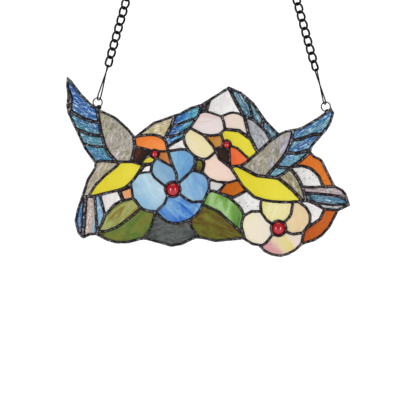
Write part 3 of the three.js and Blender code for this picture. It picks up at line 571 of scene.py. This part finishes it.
# %% Jewels
# Pressed ruby glass with a polished dome: a deep even red, and small sharp highlights
ruby = new_material("red_pressed_glass")
finish_material(ruby, add_node(ruby, "BsdfPrincipled", {}, {
    "Base Color": colour("#a80719"), "Roughness": 0.05, "IOR": 1.52,
    "Specular IOR Level": 0.6, "Transmission Weight": 0.15}))
for node, (middle, radius, rise, bezel) in JEWELS.items():
    centre = on_panel(*middle)
    turned_piece("round_" + node, dome_profile(radius, rise), centre, ruby, "red_jewel_glass", node)
    turned_piece(
        node + "_bezel", bezel_profile(radius - BEZEL_LAP, bezel), centre, patinated_solder,
        "patinated_solder")
print("jewels:", len(JEWELS))

# %% [markdown]
# ## Bending wire
# Every part of the hanging gear is bent from round wire. A curve with a round bevel could make
# each, but it would pinch where two bends meet. Here a ring of vertices is the wire's section, and
# it is extruded from station to station along the bend, turned each time to stay square to the
# wire. A closed loop is joined to its own start.

# %% Bending wire
WIRE_SIDES = 12


def bend_wire(shape, stations, wire, closed):
    """Extrude a round section along stations, and close it on itself or cap both ends."""
    count = len(stations)
    tangents = []
    for i in range(count):
        before = stations[(i - 1) % count] if closed or i > 0 else stations[i]
        after = stations[(i + 1) % count] if closed or i < count - 1 else stations[i]
        tangents.append((after - before).normalized())
    ring = bmesh.ops.create_circle(shape, segments=WIRE_SIDES, radius=wire / 2)["verts"]
    turn = Vector((0, 0, 1)).rotation_difference(tangents[0]).to_matrix()
    bmesh.ops.rotate(shape, verts=ring, matrix=turn)
    bmesh.ops.translate(shape, verts=ring, vec=stations[0])
    first = list({edge for vert in ring for edge in vert.link_edges})
    edges = first
    for i in range(1, count):
        made = bmesh.ops.extrude_edge_only(shape, edges=edges)["geom"]
        verts = [g for g in made if isinstance(g, bmesh.types.BMVert)]
        edges = [g for g in made if isinstance(g, bmesh.types.BMEdge)]
        edges = [e for e in edges if all(v in verts for v in e.verts)]
        bmesh.ops.translate(shape, verts=verts, vec=stations[i] - stations[i - 1])
        turn = tangents[i - 1].rotation_difference(tangents[i]).to_matrix()
        bmesh.ops.rotate(shape, verts=verts, cent=stations[i], matrix=turn)
    if closed:
        bmesh.ops.bridge_loops(shape, edges=first + edges)
    else:
        bmesh.ops.edgeloop_fill(shape, edges=first)
        bmesh.ops.edgeloop_fill(shape, edges=edges)


print("wire sides:", WIRE_SIDES)

# %% [markdown]
# ## The bends
# A link is a long loop that is turned about its own length, so that each link can sit square in
# the next. A hook has a crook at each end, and its stem turns an eighth of a circle between them.
# Each bend is only a list of places, and the wire is drawn through them afterwards.

# %% Stations of loops and hooks
QUARTER = math.pi / 4
LOOP_SQUARENESS = 4
HOOK_STEPS = 16
CROOK_BEND = math.radians(200)
CROOK_LIP = math.radians(20)


def loop_stations(length, width, middle, low_turn, high_turn, count):
    """Stations of a long wire loop, turned about its long way from its low end to its high end."""
    end_radius = width / 2
    straight = length / 2 - end_radius
    stations = []
    for i in range(count):
        angle = 2 * math.pi * i / count
        across = end_radius * math.cos(angle)
        up = end_radius * math.sin(angle) + straight * math.tanh(LOOP_SQUARENESS * math.sin(angle))
        turn = low_turn + (high_turn - low_turn) * (up + length / 2) / length
        stations.append(Vector((across * math.cos(turn), across * math.sin(turn), middle + up)))
    return stations


def hook_stations(low, crook, stem):
    """Stations of a hook: a low crook on the chain, a slanting stem and a crook at the front."""
    stations = []
    for i in range(HOOK_STEPS + 1):
        angle = CROOK_LIP - CROOK_BEND * i / HOOK_STEPS
        across = crook * math.cos(angle)
        up = low + crook * (1 + math.sin(angle))
        stations.append(Vector((across * math.cos(-QUARTER), across * math.sin(-QUARTER), up)))
    for i in range(1, HOOK_STEPS):
        share = i / HOOK_STEPS
        ease = share * share * (3 - 2 * share)
        across = crook * (2 * ease - 1)
        up = low + crook + stem * share
        turn = -QUARTER * (1 - ease)
        stations.append(Vector((across * math.cos(turn), across * math.sin(turn), up)))
    for i in range(HOOK_STEPS + 1):
        angle = CROOK_BEND * i / HOOK_STEPS
        up = low + stem + crook * (1 + math.sin(angle))
        stations.append(Vector((crook * math.cos(angle), 0, up)))
    return stations


print("a hook's stations:", 3 * HOOK_STEPS + 1)

# %% [markdown]
# ## Lengths of the hanging line
# Each line goes up from its ring: a long twisted wire loop, nine links and a hook. All heights are
# counted from the ring's middle, each from the one below it, so a change of one wire moves
# everything above it.

# %% Lengths of the hanging line
RING_DIAMETER = 14.6 * MM
RING_WIRE = 1.8 * MM
CONNECTOR_LENGTH = 52.8 * MM
CONNECTOR_WIRE = 2.0 * MM
CONNECTOR_SLACK = 0.8 * MM
CONNECTOR_TWIST = math.radians(67)
LINK_LENGTH = 17.4 * MM
LINK_WIDTH = 12.6 * MM
LINK_WIRE = 3.0 * MM
LINKS = 9
LINK_BITE = 0.6 * MM
HOOK_WIRE = 2.4 * MM
HOOK_CROOK = 5.5 * MM
HOOK_STEM = 12.0 * MM
CLEARANCE = 0.3 * MM

ring_top = (RING_DIAMETER - RING_WIRE) / 2
connector_top_turn = QUARTER + CONNECTOR_TWIST
connector_low = ring_top - (RING_WIRE + CONNECTOR_WIRE) / 2 - CONNECTOR_SLACK
connector_run = CONNECTOR_LENGTH - CONNECTOR_WIRE
connector_width = CONNECTOR_WIRE + (RING_WIRE + CONNECTOR_WIRE + 2 * CLEARANCE) / math.sin(QUARTER)
link_run = LINK_LENGTH - LINK_WIRE
first_link = connector_low + connector_run + link_run / 2 - (LINK_WIRE + CONNECTOR_WIRE) / 2 + LINK_BITE
link_pitch = link_run - LINK_WIRE + LINK_BITE
last_link_top = first_link + (LINKS - 1) * link_pitch + link_run / 2
hook_low = last_link_top - (LINK_WIRE + HOOK_WIRE) / 2 - CLEARANCE
print("from ring to hook:", round(hook_low, 4))

# %% [markdown]
# ## Rings, chains and hooks
# The two lines lean towards each other, because they hang from hooks that are closer together
# than the rings are. Each is bent upright and then leaned about its ring, which keeps its links
# in line whatever the lean is.

# %% Rings, chains and hooks
SLANTS = {"left": math.radians(15.7), "right": math.radians(-15.3)}
RING_STATIONS = 48
CONNECTOR_STATIONS = 64
LINK_STATIONS = 40

for side, slant in SLANTS.items():
    low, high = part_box(side + "_ring")
    centre = (low + high) / 2
    lean = Matrix.Translation(centre) @ Matrix.Rotation(slant, 4, "Y")
    ring = bmesh.new()
    bend_wire(ring, [
        centre + ring_top * Vector((math.sin(a), 0, math.cos(a)))
        for a in [2 * math.pi * i / RING_STATIONS for i in range(RING_STATIONS)]], RING_WIRE, True)
    bmesh.ops.recalc_face_normals(ring, faces=ring.faces)
    shown_object(side + "_wire_ring", ring, ring_wire, "ring_wire", side + "_ring")
    connector = bmesh.new()
    bend_wire(connector, loop_stations(
        connector_run, connector_width - CONNECTOR_WIRE, connector_low + connector_run / 2,
        QUARTER, connector_top_turn, CONNECTOR_STATIONS), CONNECTOR_WIRE, True)
    bmesh.ops.transform(connector, verts=connector.verts, matrix=lean)
    bmesh.ops.recalc_face_normals(connector, faces=connector.faces)
    shown_object(side + "_connector", connector, blackened_steel, "blackened_steel")
    links = bmesh.new()
    for i in range(LINKS):
        below = connector_top_turn if i == 0 else QUARTER
        bend_wire(links, loop_stations(
            link_run, LINK_WIDTH - LINK_WIRE, first_link + i * link_pitch,
            below - 2 * QUARTER, QUARTER, LINK_STATIONS), LINK_WIRE, True)
    bmesh.ops.transform(links, verts=links.verts, matrix=lean)
    bmesh.ops.recalc_face_normals(links, faces=links.faces)
    shown_object(side + "_links", links, blackened_steel, "blackened_steel", side + "_chain")
    hook = bmesh.new()
    bend_wire(hook, hook_stations(hook_low, HOOK_CROOK, HOOK_STEM), HOOK_WIRE, False)
    bmesh.ops.transform(hook, verts=hook.verts, matrix=lean)
    bmesh.ops.recalc_face_normals(hook, faces=hook.faces)
    shown_object(side + "_wire_hook", hook, blackened_steel, "blackened_steel", side + "_hook")
print("links in each chain:", LINKS)

# %% [markdown]
# ## Streaks in art glass
# Art glass is rolled from several colours of molten glass at once, and each sheet has streaks that
# run one way. A picture of glass could be laid on each piece, but the streaks would not follow its
# cut. Each piece here has a short list of colours from one side to the other, and a noise that is
# stretched along the streaks pushes that list about.

# %% Streaks
# The list of colours runs over this share of a piece's longest way
SPAN = 0.8
# Streaks reach this many times their width through the sheet, so both faces show the same ones
ACROSS_SHEET = 4
# Each piece looks at its own part of the noise, so that no two pieces match
GRAIN_SHIFT = 3.7


def streaked(material, where, low, high, look):
    """The streaked colour of a sheet, and the stretched places that its streaks follow."""
    turn = (0, math.radians(look["lean"]), 0)
    list_turn = (0, math.radians(look.get("list_lean", look["lean"])), 0)
    span = (high - low).length * SPAN
    width, length = look["streak"]
    centred = add_node(material, "Mapping", {"vector_type": "TEXTURE"}, {
        "Vector": where, "Location": (low + high) / 2, "Rotation": list_turn,
        "Scale": (span, span, span)})
    across = add_node(material, "SeparateXYZ", {}, {"Vector": centred.outputs["Vector"]})
    grain = add_node(material, "Mapping", {"vector_type": "TEXTURE"}, {
        "Vector": where, "Location": (high - low) * GRAIN_SHIFT, "Rotation": turn,
        "Scale": (width * MM, width * MM * ACROSS_SHEET, length * MM)}).outputs["Vector"]
    streaks = add_node(material, "TexNoise", {}, {
        "Vector": grain, "Scale": 1.0, "Detail": 4.0, "Roughness": 0.55, "Distortion": 0.7})
    pushed = add_node(material, "Math", {"operation": "MULTIPLY_ADD"}, {
        0: across.outputs["X"], 1: look["drift"], 2: 0.5 - look["swirl"] / 2})
    place = add_node(material, "Math", {"operation": "MULTIPLY_ADD"}, {
        0: streaks.outputs["Fac"], 1: look["swirl"], 2: pushed.outputs["Value"]})
    base = add_node(material, "ValToRGB", {"stops": look["colours"]}, {
        "Fac": place.outputs["Value"]})
    return base.outputs["Color"], grain


print("streaks ready")

# %% [markdown]
# ## Flecks, clouds and seeds
# Over the streaks come the marks that tell one sheet from another. Flecks are chips and wisps of
# another glass that were rolled in. Clouds are places where the milky glass is thicker, so that
# less light comes through. Seeds are small bubbles, and they look dark because they bend the light
# away. Each function takes the colour so far and gives back the colour with its marks.

# %% Flecks, clouds and seeds
FLECK_SHIFT = 2.3
# Flecks lie where the noise is above these values, faint at the first and full at the second
FLECK_START = 0.54
FLECK_FULL = 0.61
# Real seeds are half a millimetre wide and closer together; these are coarser so that they show
SEED_SPACING = 9.5
# A seed's dark middle and soft rim, as shares of the spacing
SEED_INSIDE = 0.05
SEED_OUTSIDE = 0.12
SEED_DARKNESS = 0.85


def add_flecks(material, where, low, high, look, shown):
    """Lay wisps or specks of a second colour over the first."""
    width, length = look["fleck_size"]
    fleck_grain = add_node(material, "Mapping", {"vector_type": "TEXTURE"}, {
        "Vector": where, "Location": (low - high) * FLECK_SHIFT,
        "Rotation": (0, math.radians(look["lean"]), 0),
        "Scale": (width * MM, width * MM * ACROSS_SHEET, length * MM)})
    fleck_noise = add_node(material, "TexNoise", {}, {
        "Vector": fleck_grain.outputs["Vector"], "Scale": 1.0, "Detail": 3.0,
        "Roughness": 0.6, "Distortion": 1.0})
    amount = add_node(material, "MapRange", {}, {
        "Value": fleck_noise.outputs["Fac"], "From Min": FLECK_START, "From Max": FLECK_FULL,
        "To Max": look["fleck_share"]})
    return add_node(material, "Mix", {"data_type": "RGBA"}, {
        MIX_FACTOR: amount.outputs["Result"], MIX_FIRST: shown,
        MIX_SECOND: colour(look["flecks"])}).outputs[MIX_RESULT]


def add_clouds(material, grain, shade, shown):
    """Make the sheet lighter and darker along its streaks."""
    clouds = add_node(material, "TexNoise", {}, {
        "Vector": grain, "Scale": 1.9, "Detail": 3.0, "Roughness": 0.6, "Distortion": 0.5})
    value = add_node(material, "MapRange", {}, {
        "Value": clouds.outputs["Fac"], "From Min": 0.35, "From Max": 0.65,
        "To Min": 1 - shade, "To Max": 1 + shade})
    return add_node(material, "HueSaturation", {}, {
        "Value": value.outputs["Result"], "Color": shown}).outputs["Color"]


def add_seeds(material, where, shown):
    """Scatter small dark bubbles in the panel's plane."""
    flat = add_node(material, "Mapping", {}, {
        "Vector": where, "Rotation": (math.radians(90), 0, 0)})
    cells = add_node(material, "TexVoronoi", {"voronoi_dimensions": "2D"}, {
        "Vector": flat.outputs["Vector"], "Scale": 1 / (SEED_SPACING * MM)})
    dots = add_node(material, "MapRange", {}, {
        "Value": cells.outputs["Distance"], "From Min": SEED_INSIDE, "From Max": SEED_OUTSIDE,
        "To Min": SEED_DARKNESS, "To Max": 0.0})
    return add_node(material, "Mix", {"data_type": "RGBA"}, {
        MIX_FACTOR: dots.outputs["Result"], MIX_FIRST: shown,
        MIX_SECOND: colour("#3f3d3c")}).outputs[MIX_RESULT]


print("seeds lie", SEED_SPACING, "mm apart")

# %% [markdown]
# ## A sheet of glass
# Light comes through the glass from the backdrop, and the milky part of it scatters light from the
# front. Clear glass alone would look empty and paint alone would look like card, so each sheet is
# a share of both. Its skin is wavy from the rollers, which a low bump gives it.

# %% Art glass
# A real wave is a tenth of a millimetre deep or less, and it is drawn four times as deep to show
BUMP_REACH = 4


def art_glass(name, node, **look):
    """Streaky sheet glass. Sizes are millimetres and a lean is clockwise from upright."""
    look = {"lean": 0, "drift": 0.6, "flecks": None, "shade": 0.0, "seeds": False, **look}
    low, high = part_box(node)
    material = new_material(name)
    where = add_node(material, "TexCoord", {}, {}).outputs["Object"]
    shown, grain = streaked(material, where, low, high, look)
    if look["flecks"]:
        shown = add_flecks(material, where, low, high, look, shown)
    if look["shade"]:
        shown = add_clouds(material, grain, look["shade"], shown)
    if look["seeds"]:
        shown = add_seeds(material, where, shown)
    ripple = add_node(material, "TexNoise", {}, {
        "Vector": where, "Scale": 1 / (look["wave_size"] * MM), "Detail": 3.0, "Roughness": 0.6})
    raised = add_node(material, "Bump", {}, {
        "Height": ripple.outputs["Fac"], "Strength": 1.0,
        "Distance": look["wave"] * MM * BUMP_REACH})
    return finish_material(material, add_node(material, "BsdfPrincipled", {}, {
        "Base Color": shown, "Roughness": look["roughness"], "IOR": 1.52,
        "Transmission Weight": look["clear"], "Normal": raised.outputs["Normal"]}))


def glaze(node, **look):
    """Give one glass node its own art glass in place of its plain finish."""
    material = art_glass(node + "_glass", node, **look)
    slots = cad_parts[node].data.materials
    slots.clear()
    slots.append(material)


print("glass ready")

# %% [markdown]
# ## Seven kinds of sheet
# The panel uses seven kinds of rolled sheet, and every piece is cut from one of them in its own
# colours. The kinds are written down once, and a piece names only what it has of its own: its
# colours and the way that its streaks lean.

# %% Kinds of sheet
# Wispy feather glass: white threads and dark clouds over blue, so that it glitters like plumage.
# Real threads are under a millimetre wide, and they are drawn at 1.9 mm so that they show.
FEATHER = dict(
    streak=(3, 9), swirl=0.6, flecks="#bfdfec", fleck_size=(1.9, 9.0), fleck_share=0.85,
    shade=0.55, clear=0.35, roughness=0.1, wave=0.12, wave_size=2.5)
# Mottled grey glass with a ripple: two greys stirred together, with pale wisps like down
COVERT = dict(
    streak=(7, 16), swirl=2.2, fleck_size=(1.8, 8.0), fleck_share=0.8, shade=0.3,
    clear=0.35, roughness=0.12, wave=0.12, wave_size=3.0)
# Plain opal glass of one strong colour, with the faintest grain: flat and glowing
EVEN = dict(
    streak=(6, 12), swirl=0.5, fleck_size=(0.5, 0.8), fleck_share=0.25, clear=0.4,
    roughness=0.14, wave=0.05, wave_size=5.0)
# The same sheet with crushed glass rolled in, whose specks of about 2 mm give it a rough warmth
SPECKLED = {**EVEN, "fleck_size": (1.8, 1.8), "fleck_share": 0.75}
# Milky opal glass: wide soft swirls of tint in white, as in a petal
OPAL = dict(streak=(9, 26), swirl=1.0, clear=0.35, roughness=0.1, wave=0.06, wave_size=12.0)
# Streaky opal glass: long bands of greens and browns that run the way that a leaf's veins do
LEAF = dict(streak=(13, 50), swirl=1.5, clear=0.4, roughness=0.1, wave=0.06, wave_size=10.0)
# Clear textured glass: hammered by the roller, so that it lets the white through a little grey
CLEAR = dict(streak=(5, 8), swirl=1.0, clear=0.8, roughness=0.16, wave=0.06, wave_size=2.5)
print("kinds of sheet ready")

# %% [markdown]
# ## The left bird
# Wings and tail are blue feather glass, the backs and inner wings are mottled grey, and the small
# pieces of head and belly are plain strong colours. The streaks lean the way that the feathers
# point, because a glass cutter turns the pattern on the sheet to get that.

# %% Left bird
glaze("left_near_wing_feathers", lean=-58, drift=1.3,
      colours=[(0.1, "#35779f"), (0.23, "#3f8592"), (0.34, "#33788f"), (0.42, "#285f92"),
               (0.6, "#1c58a2"), (0.8, "#19509c")], **FEATHER)
glaze("left_far_wing_feathers", lean=62, list_lean=25, drift=1.1,
      colours=[(0.25, "#1c4f9c"), (0.45, "#2a6fae"), (0.65, "#55a5b4")], **FEATHER)
glaze("left_bird_tail", lean=4, drift=1.5,
      colours=[(0.28, "#2d6ca6"), (0.33, "#b9a79d"), (0.62, "#b1a198"), (0.68, "#77abcd")],
      **{**FEATHER, "swirl": 0.35, "flecks": "#d8d6d2", "fleck_share": 0.55})
glaze("left_wing_covert", lean=25, drift=0.3, flecks="#d3cdc6",
      colours=[(0.15, "#84875c"), (0.35, "#b0a894"), (0.5, "#888a73"), (0.65, "#b3a4a3"),
               (0.85, "#908d80")], **COVERT)
glaze("left_far_wing_covert", lean=60, drift=0.3, flecks="#ece4d2",
      colours=[(0.25, "#b5a873"), (0.42, "#d6caa8"), (0.58, "#b7a97e"), (0.8, "#d6c6b6")], **COVERT)
glaze("left_bird_back", lean=30, drift=0.3, flecks="#cfc6b8",
      colours=[(0.2, "#8c8560"), (0.4, "#c0b49f"), (0.55, "#978d70"), (0.75, "#cabab3")], **COVERT)
glaze("left_bird_belly", flecks="#cdbb22",
      colours=[(0.3, "#e0d12e"), (0.7, "#e8dc45")], **EVEN)
glaze("left_bird_crest", flecks="#e27a2c", lean=70,
      colours=[(0.3, "#ea7d2e"), (0.7, "#f7994f")], **EVEN)
glaze("left_bird_throat", flecks="#cbb329",
      colours=[(0.3, "#d6c22e"), (0.7, "#e3d24a")], **EVEN)
glaze("left_bird_beak", flecks="#b0692f", lean=20,
      colours=[(0.3, "#bf7438"), (0.7, "#d48c50")], **EVEN)
glaze("left_bird_cheek", flecks="#12090a", lean=35, drift=1.0,
      colours=[(0.28, "#4e2414"), (0.42, "#2c1611"), (0.8, "#1d100e")],
      **{**EVEN, "clear": 0.2})
print("left bird glazed")

# %% [markdown]
# ## The right bird
# The second bird flies the other way and has the same kinds of glass. Its feathers are cut from
# a greener part of the sheet, and its inner wing has a lilac end.

# %% Right bird
glaze("right_bird_cheek", flecks="#12090a", lean=-20,
      colours=[(0.3, "#4a281a"), (0.5, "#2c1812"), (0.8, "#1d100e")], **{**EVEN, "clear": 0.2})
glaze("right_bird_throat", flecks="#d95f2a",
      colours=[(0.3, "#e8652f"), (0.7, "#f27e47")], **EVEN)
glaze("right_bird_crest", flecks="#cdbb22", lean=-40,
      colours=[(0.3, "#e2d42f"), (0.7, "#ebe04a")], **EVEN)
glaze("right_bird_beak", flecks="#a56a25", lean=50,
      colours=[(0.3, "#b87a2f"), (0.7, "#cb9145")], **EVEN)
glaze("right_bird_belly", flecks="#cdbb22",
      colours=[(0.3, "#e2d42f"), (0.7, "#ebe04a")], **EVEN)
glaze("right_bird_rump", lean=-25, drift=0.4, flecks="#ded8c8",
      colours=[(0.25, "#80764a"), (0.42, "#ada386"), (0.56, "#857b54"), (0.75, "#b7b0a4")], **COVERT)
glaze("right_bird_tail", lean=98, drift=1.6,
      colours=[(0.3, "#b09a9b"), (0.36, "#aa9495"), (0.42, "#2a6a8b"), (0.64, "#37728d"),
               (0.7, "#aba4a5")],
      **{**FEATHER, "swirl": 0.3, "streak": (3, 12), "flecks": "#cfdfe2", "fleck_share": 0.6})
glaze("right_far_wing_covert", lean=-32, drift=0.3, flecks="#d2d4da",
      colours=[(0.2, "#8c8f93"), (0.4, "#b2b4b7"), (0.55, "#92949a"), (0.75, "#c1c1c4")], **COVERT)
glaze("right_far_wing_feathers", lean=-35, drift=0.2,
      colours=[(0.25, "#275a80"), (0.5, "#456f85"), (0.75, "#a0c6c8")], **FEATHER)
glaze("right_wing_covert", lean=15, drift=0.7, flecks="#c9c4ba",
      colours=[(0.15, "#b7a8a0"), (0.35, "#868468"), (0.5, "#aea996"), (0.62, "#8b8878"),
               (0.75, "#a8a3b8")], **COVERT)
glaze("right_near_wing_feathers", lean=58, drift=2.6,
      colours=[(0.24, "#376ea6"), (0.36, "#46878f"), (0.46, "#3f7695"), (0.6, "#255094"),
               (0.74, "#6093b4"), (0.9, "#6293a0")], **FEATHER)
print("right bird glazed")

# %% [markdown]
# ## Flowers
# Each petal is a piece of opal glass. The petals of one flower could share one material, but then
# a streak would run on from petal to petal, which cut glass never does. So each petal has its own
# colours and its own lean, darker where the sheet was darker.

# %% Blue flower
glaze("blue_petal_left", lean=-40,
      colours=[(0.25, "#8fb9d6"), (0.5, "#a9cadd"), (0.8, "#cbdfe8")], **OPAL)
glaze("blue_petal_upper_left", lean=-35,
      colours=[(0.25, "#97bad3"), (0.55, "#84accc"), (0.8, "#78a4ca")], **OPAL)
glaze("blue_petal_upper_right", lean=15,
      colours=[(0.25, "#8cbcd9"), (0.5, "#72a7d1"), (0.8, "#5289c6")], **OPAL)
glaze("blue_petal_right", lean=-30,
      colours=[(0.25, "#a2c8de"), (0.5, "#86b2d5"), (0.8, "#6c9dcd")], **OPAL)
glaze("blue_petal_low", lean=-52, drift=0.2,
      colours=[(0.25, "#2f63be"), (0.4, "#4f86cc"), (0.6, "#76a7d3"), (0.85, "#9fc3dd")],
      **{**OPAL, "swirl": 1.5})
print("blue flower glazed")

# %% Cream and pale flowers
glaze("cream_petal_top_left", lean=80, drift=-0.7,
      colours=[(0.25, "#e7dddc"), (0.55, "#e6dad6"), (0.8, "#e2c3c2")], **OPAL)
glaze("cream_petal_top_right", lean=-20,
      colours=[(0.25, "#ecd6cd"), (0.5, "#eaddca"), (0.8, "#e9dad2")], **OPAL)
glaze("cream_petal_left", lean=-45, drift=0.5,
      colours=[(0.2, "#ece0ce"), (0.45, "#ebdfaa"), (0.6, "#ecdcb4"), (0.85, "#edc9bd")], **OPAL)
glaze("cream_petal_low", lean=-45, drift=0.4,
      colours=[(0.2, "#ecdccb"), (0.5, "#efd3c4"), (0.8, "#ecdfd6")], **OPAL)
glaze("pale_petal_top", lean=25,
      colours=[(0.25, "#e6dc88"), (0.45, "#ece7b8"), (0.6, "#e9de98"), (0.8, "#ece3cd")], **OPAL)
glaze("pale_petal_right", lean=5,
      colours=[(0.25, "#e6d7ae"), (0.5, "#e4cb9e"), (0.75, "#e6d4b0")], **OPAL)
glaze("pale_petal_low", lean=-32, drift=1.2,
      colours=[(0.2, "#d69f9f"), (0.36, "#dcb4aa"), (0.5, "#e2d3ae"), (0.62, "#e2d584"),
               (0.78, "#ead8cb")], **{**OPAL, "swirl": 0.6})
glaze("pale_petal_left",
      colours=[(0.25, "#efe6c0"), (0.5, "#ebe3d0"), (0.8, "#ece0cf")], **OPAL)
print("cream and pale flowers glazed")

# %% [markdown]
# ## Leaves and ground
# Leaf glass has its streaks laid along the leaf. The dark ground between the leaves is the same
# kind of sheet in greys, with its streaks nearly level. A leaf's light and dark bands are in its
# list of colours rather than in the lamps, because the sheet itself is paler there.

# %% Leaves and ground
glaze("left_leaf_upper", lean=42, drift=0.2,
      colours=[(0.2, "#666b2e"), (0.38, "#838a41"), (0.5, "#acaf6b"), (0.6, "#8d9048"),
               (0.68, "#96743a"), (0.76, "#7d8440")], **LEAF)
glaze("left_leaf_lower", lean=42, drift=0.2,
      colours=[(0.2, "#57521f"), (0.4, "#7a7c33"), (0.56, "#6b7c34"), (0.7, "#54742c"),
               (0.85, "#7a7a36")], **LEAF)
glaze("dark_ground", lean=75, drift=0.1,
      colours=[(0.25, "#3e4140"), (0.45, "#4e5251"), (0.6, "#646968"), (0.72, "#535346"),
               (0.88, "#434645")], **{**LEAF, "streak": (9, 30)})
glaze("right_leaf_dark", lean=-60, drift=0.2,
      colours=[(0.2, "#6b7a2a"), (0.4, "#65661c"), (0.55, "#634a14"), (0.7, "#6f7024"),
               (0.85, "#7f7e36")], **LEAF)
glaze("right_leaf_light", lean=8, drift=0.5,
      colours=[(0.2, "#75a845"), (0.4, "#a9cb92"), (0.55, "#7fae52"), (0.75, "#56843a"),
               (0.9, "#4d7634")], **LEAF)
print("leaves and ground glazed")

# %% [markdown]
# ## Orange and clear glass
# The orange pieces are speckled sheet. The clear pieces only show their texture, and two of them
# are seedy glass, with bubbles left in it on purpose.

# %% Orange and clear glass
glaze("orange_left_of_bird", flecks="#a04c08",
      colours=[(0.3, "#c0600c"), (0.7, "#cf7014")], **SPECKLED)
glaze("orange_arc_upper", flecks="#c2621a",
      colours=[(0.3, "#d9701c"), (0.7, "#e58129")], **SPECKLED)
glaze("orange_arc_lower", flecks="#9c450f",
      colours=[(0.3, "#c25a17"), (0.7, "#cf681f")], **SPECKLED)
for node in ("clear_by_left_tail", "clear_over_blue_flower", "clear_top", "clear_low_right"):
    glaze(node, colours=[(0.3, "#dcd8d7"), (0.7, "#f2efee")], **CLEAR)
for node in ("clear_in_middle", "clear_by_right_tail"):
    glaze(node, colours=[(0.3, "#d3d1cf"), (0.7, "#ebe9e7")], seeds=True, **CLEAR)
print("orange and clear glass glazed")

# %% [markdown]
# ## Four small tiles
# The four smallest glasses are upright blocks from their corners on the drawing, and they fill the
# rooms that were cut for them in the solder. Three are cut from sheets that are already there. The
# fourth is a peach opal, plain and speckled, which no other piece has. Cut glass has flat faces,
# so the tiles aren't shaded smooth.

# %% Four small tiles
peach_glass = art_glass(
    "peach_opal_glass", "left_bird_crest", flecks="#e9b48c",
    colours=[(0.3, "#e6a06c"), (0.7, "#ecae80")], **SPECKLED)
clear_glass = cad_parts["clear_by_left_tail"].data.materials[0]
seedy_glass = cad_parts["clear_in_middle"].data.materials[0]
olive_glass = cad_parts["right_leaf_dark"].data.materials[0]
TILE_LOOKS = {
    "clear_tile_under_throat": (clear_glass, "clear_textured_glass"),
    "clear_tile_by_orange": (seedy_glass, "clear_textured_glass"),
    "orange_tile": (peach_glass, "orange_opal_glass"),
    "olive_tile": (olive_glass, "green_opal_glass"),
}
for name, corners in TILES.items():
    glass, slot = TILE_LOOKS[name]
    tile = shown_object(name, prism(corners, -GLASS_FACE, GLASS_FACE), glass, slot)
    tile.data.polygons.foreach_set("use_smooth", [False] * len(tile.data.polygons))
print("tiles:", len(TILES))
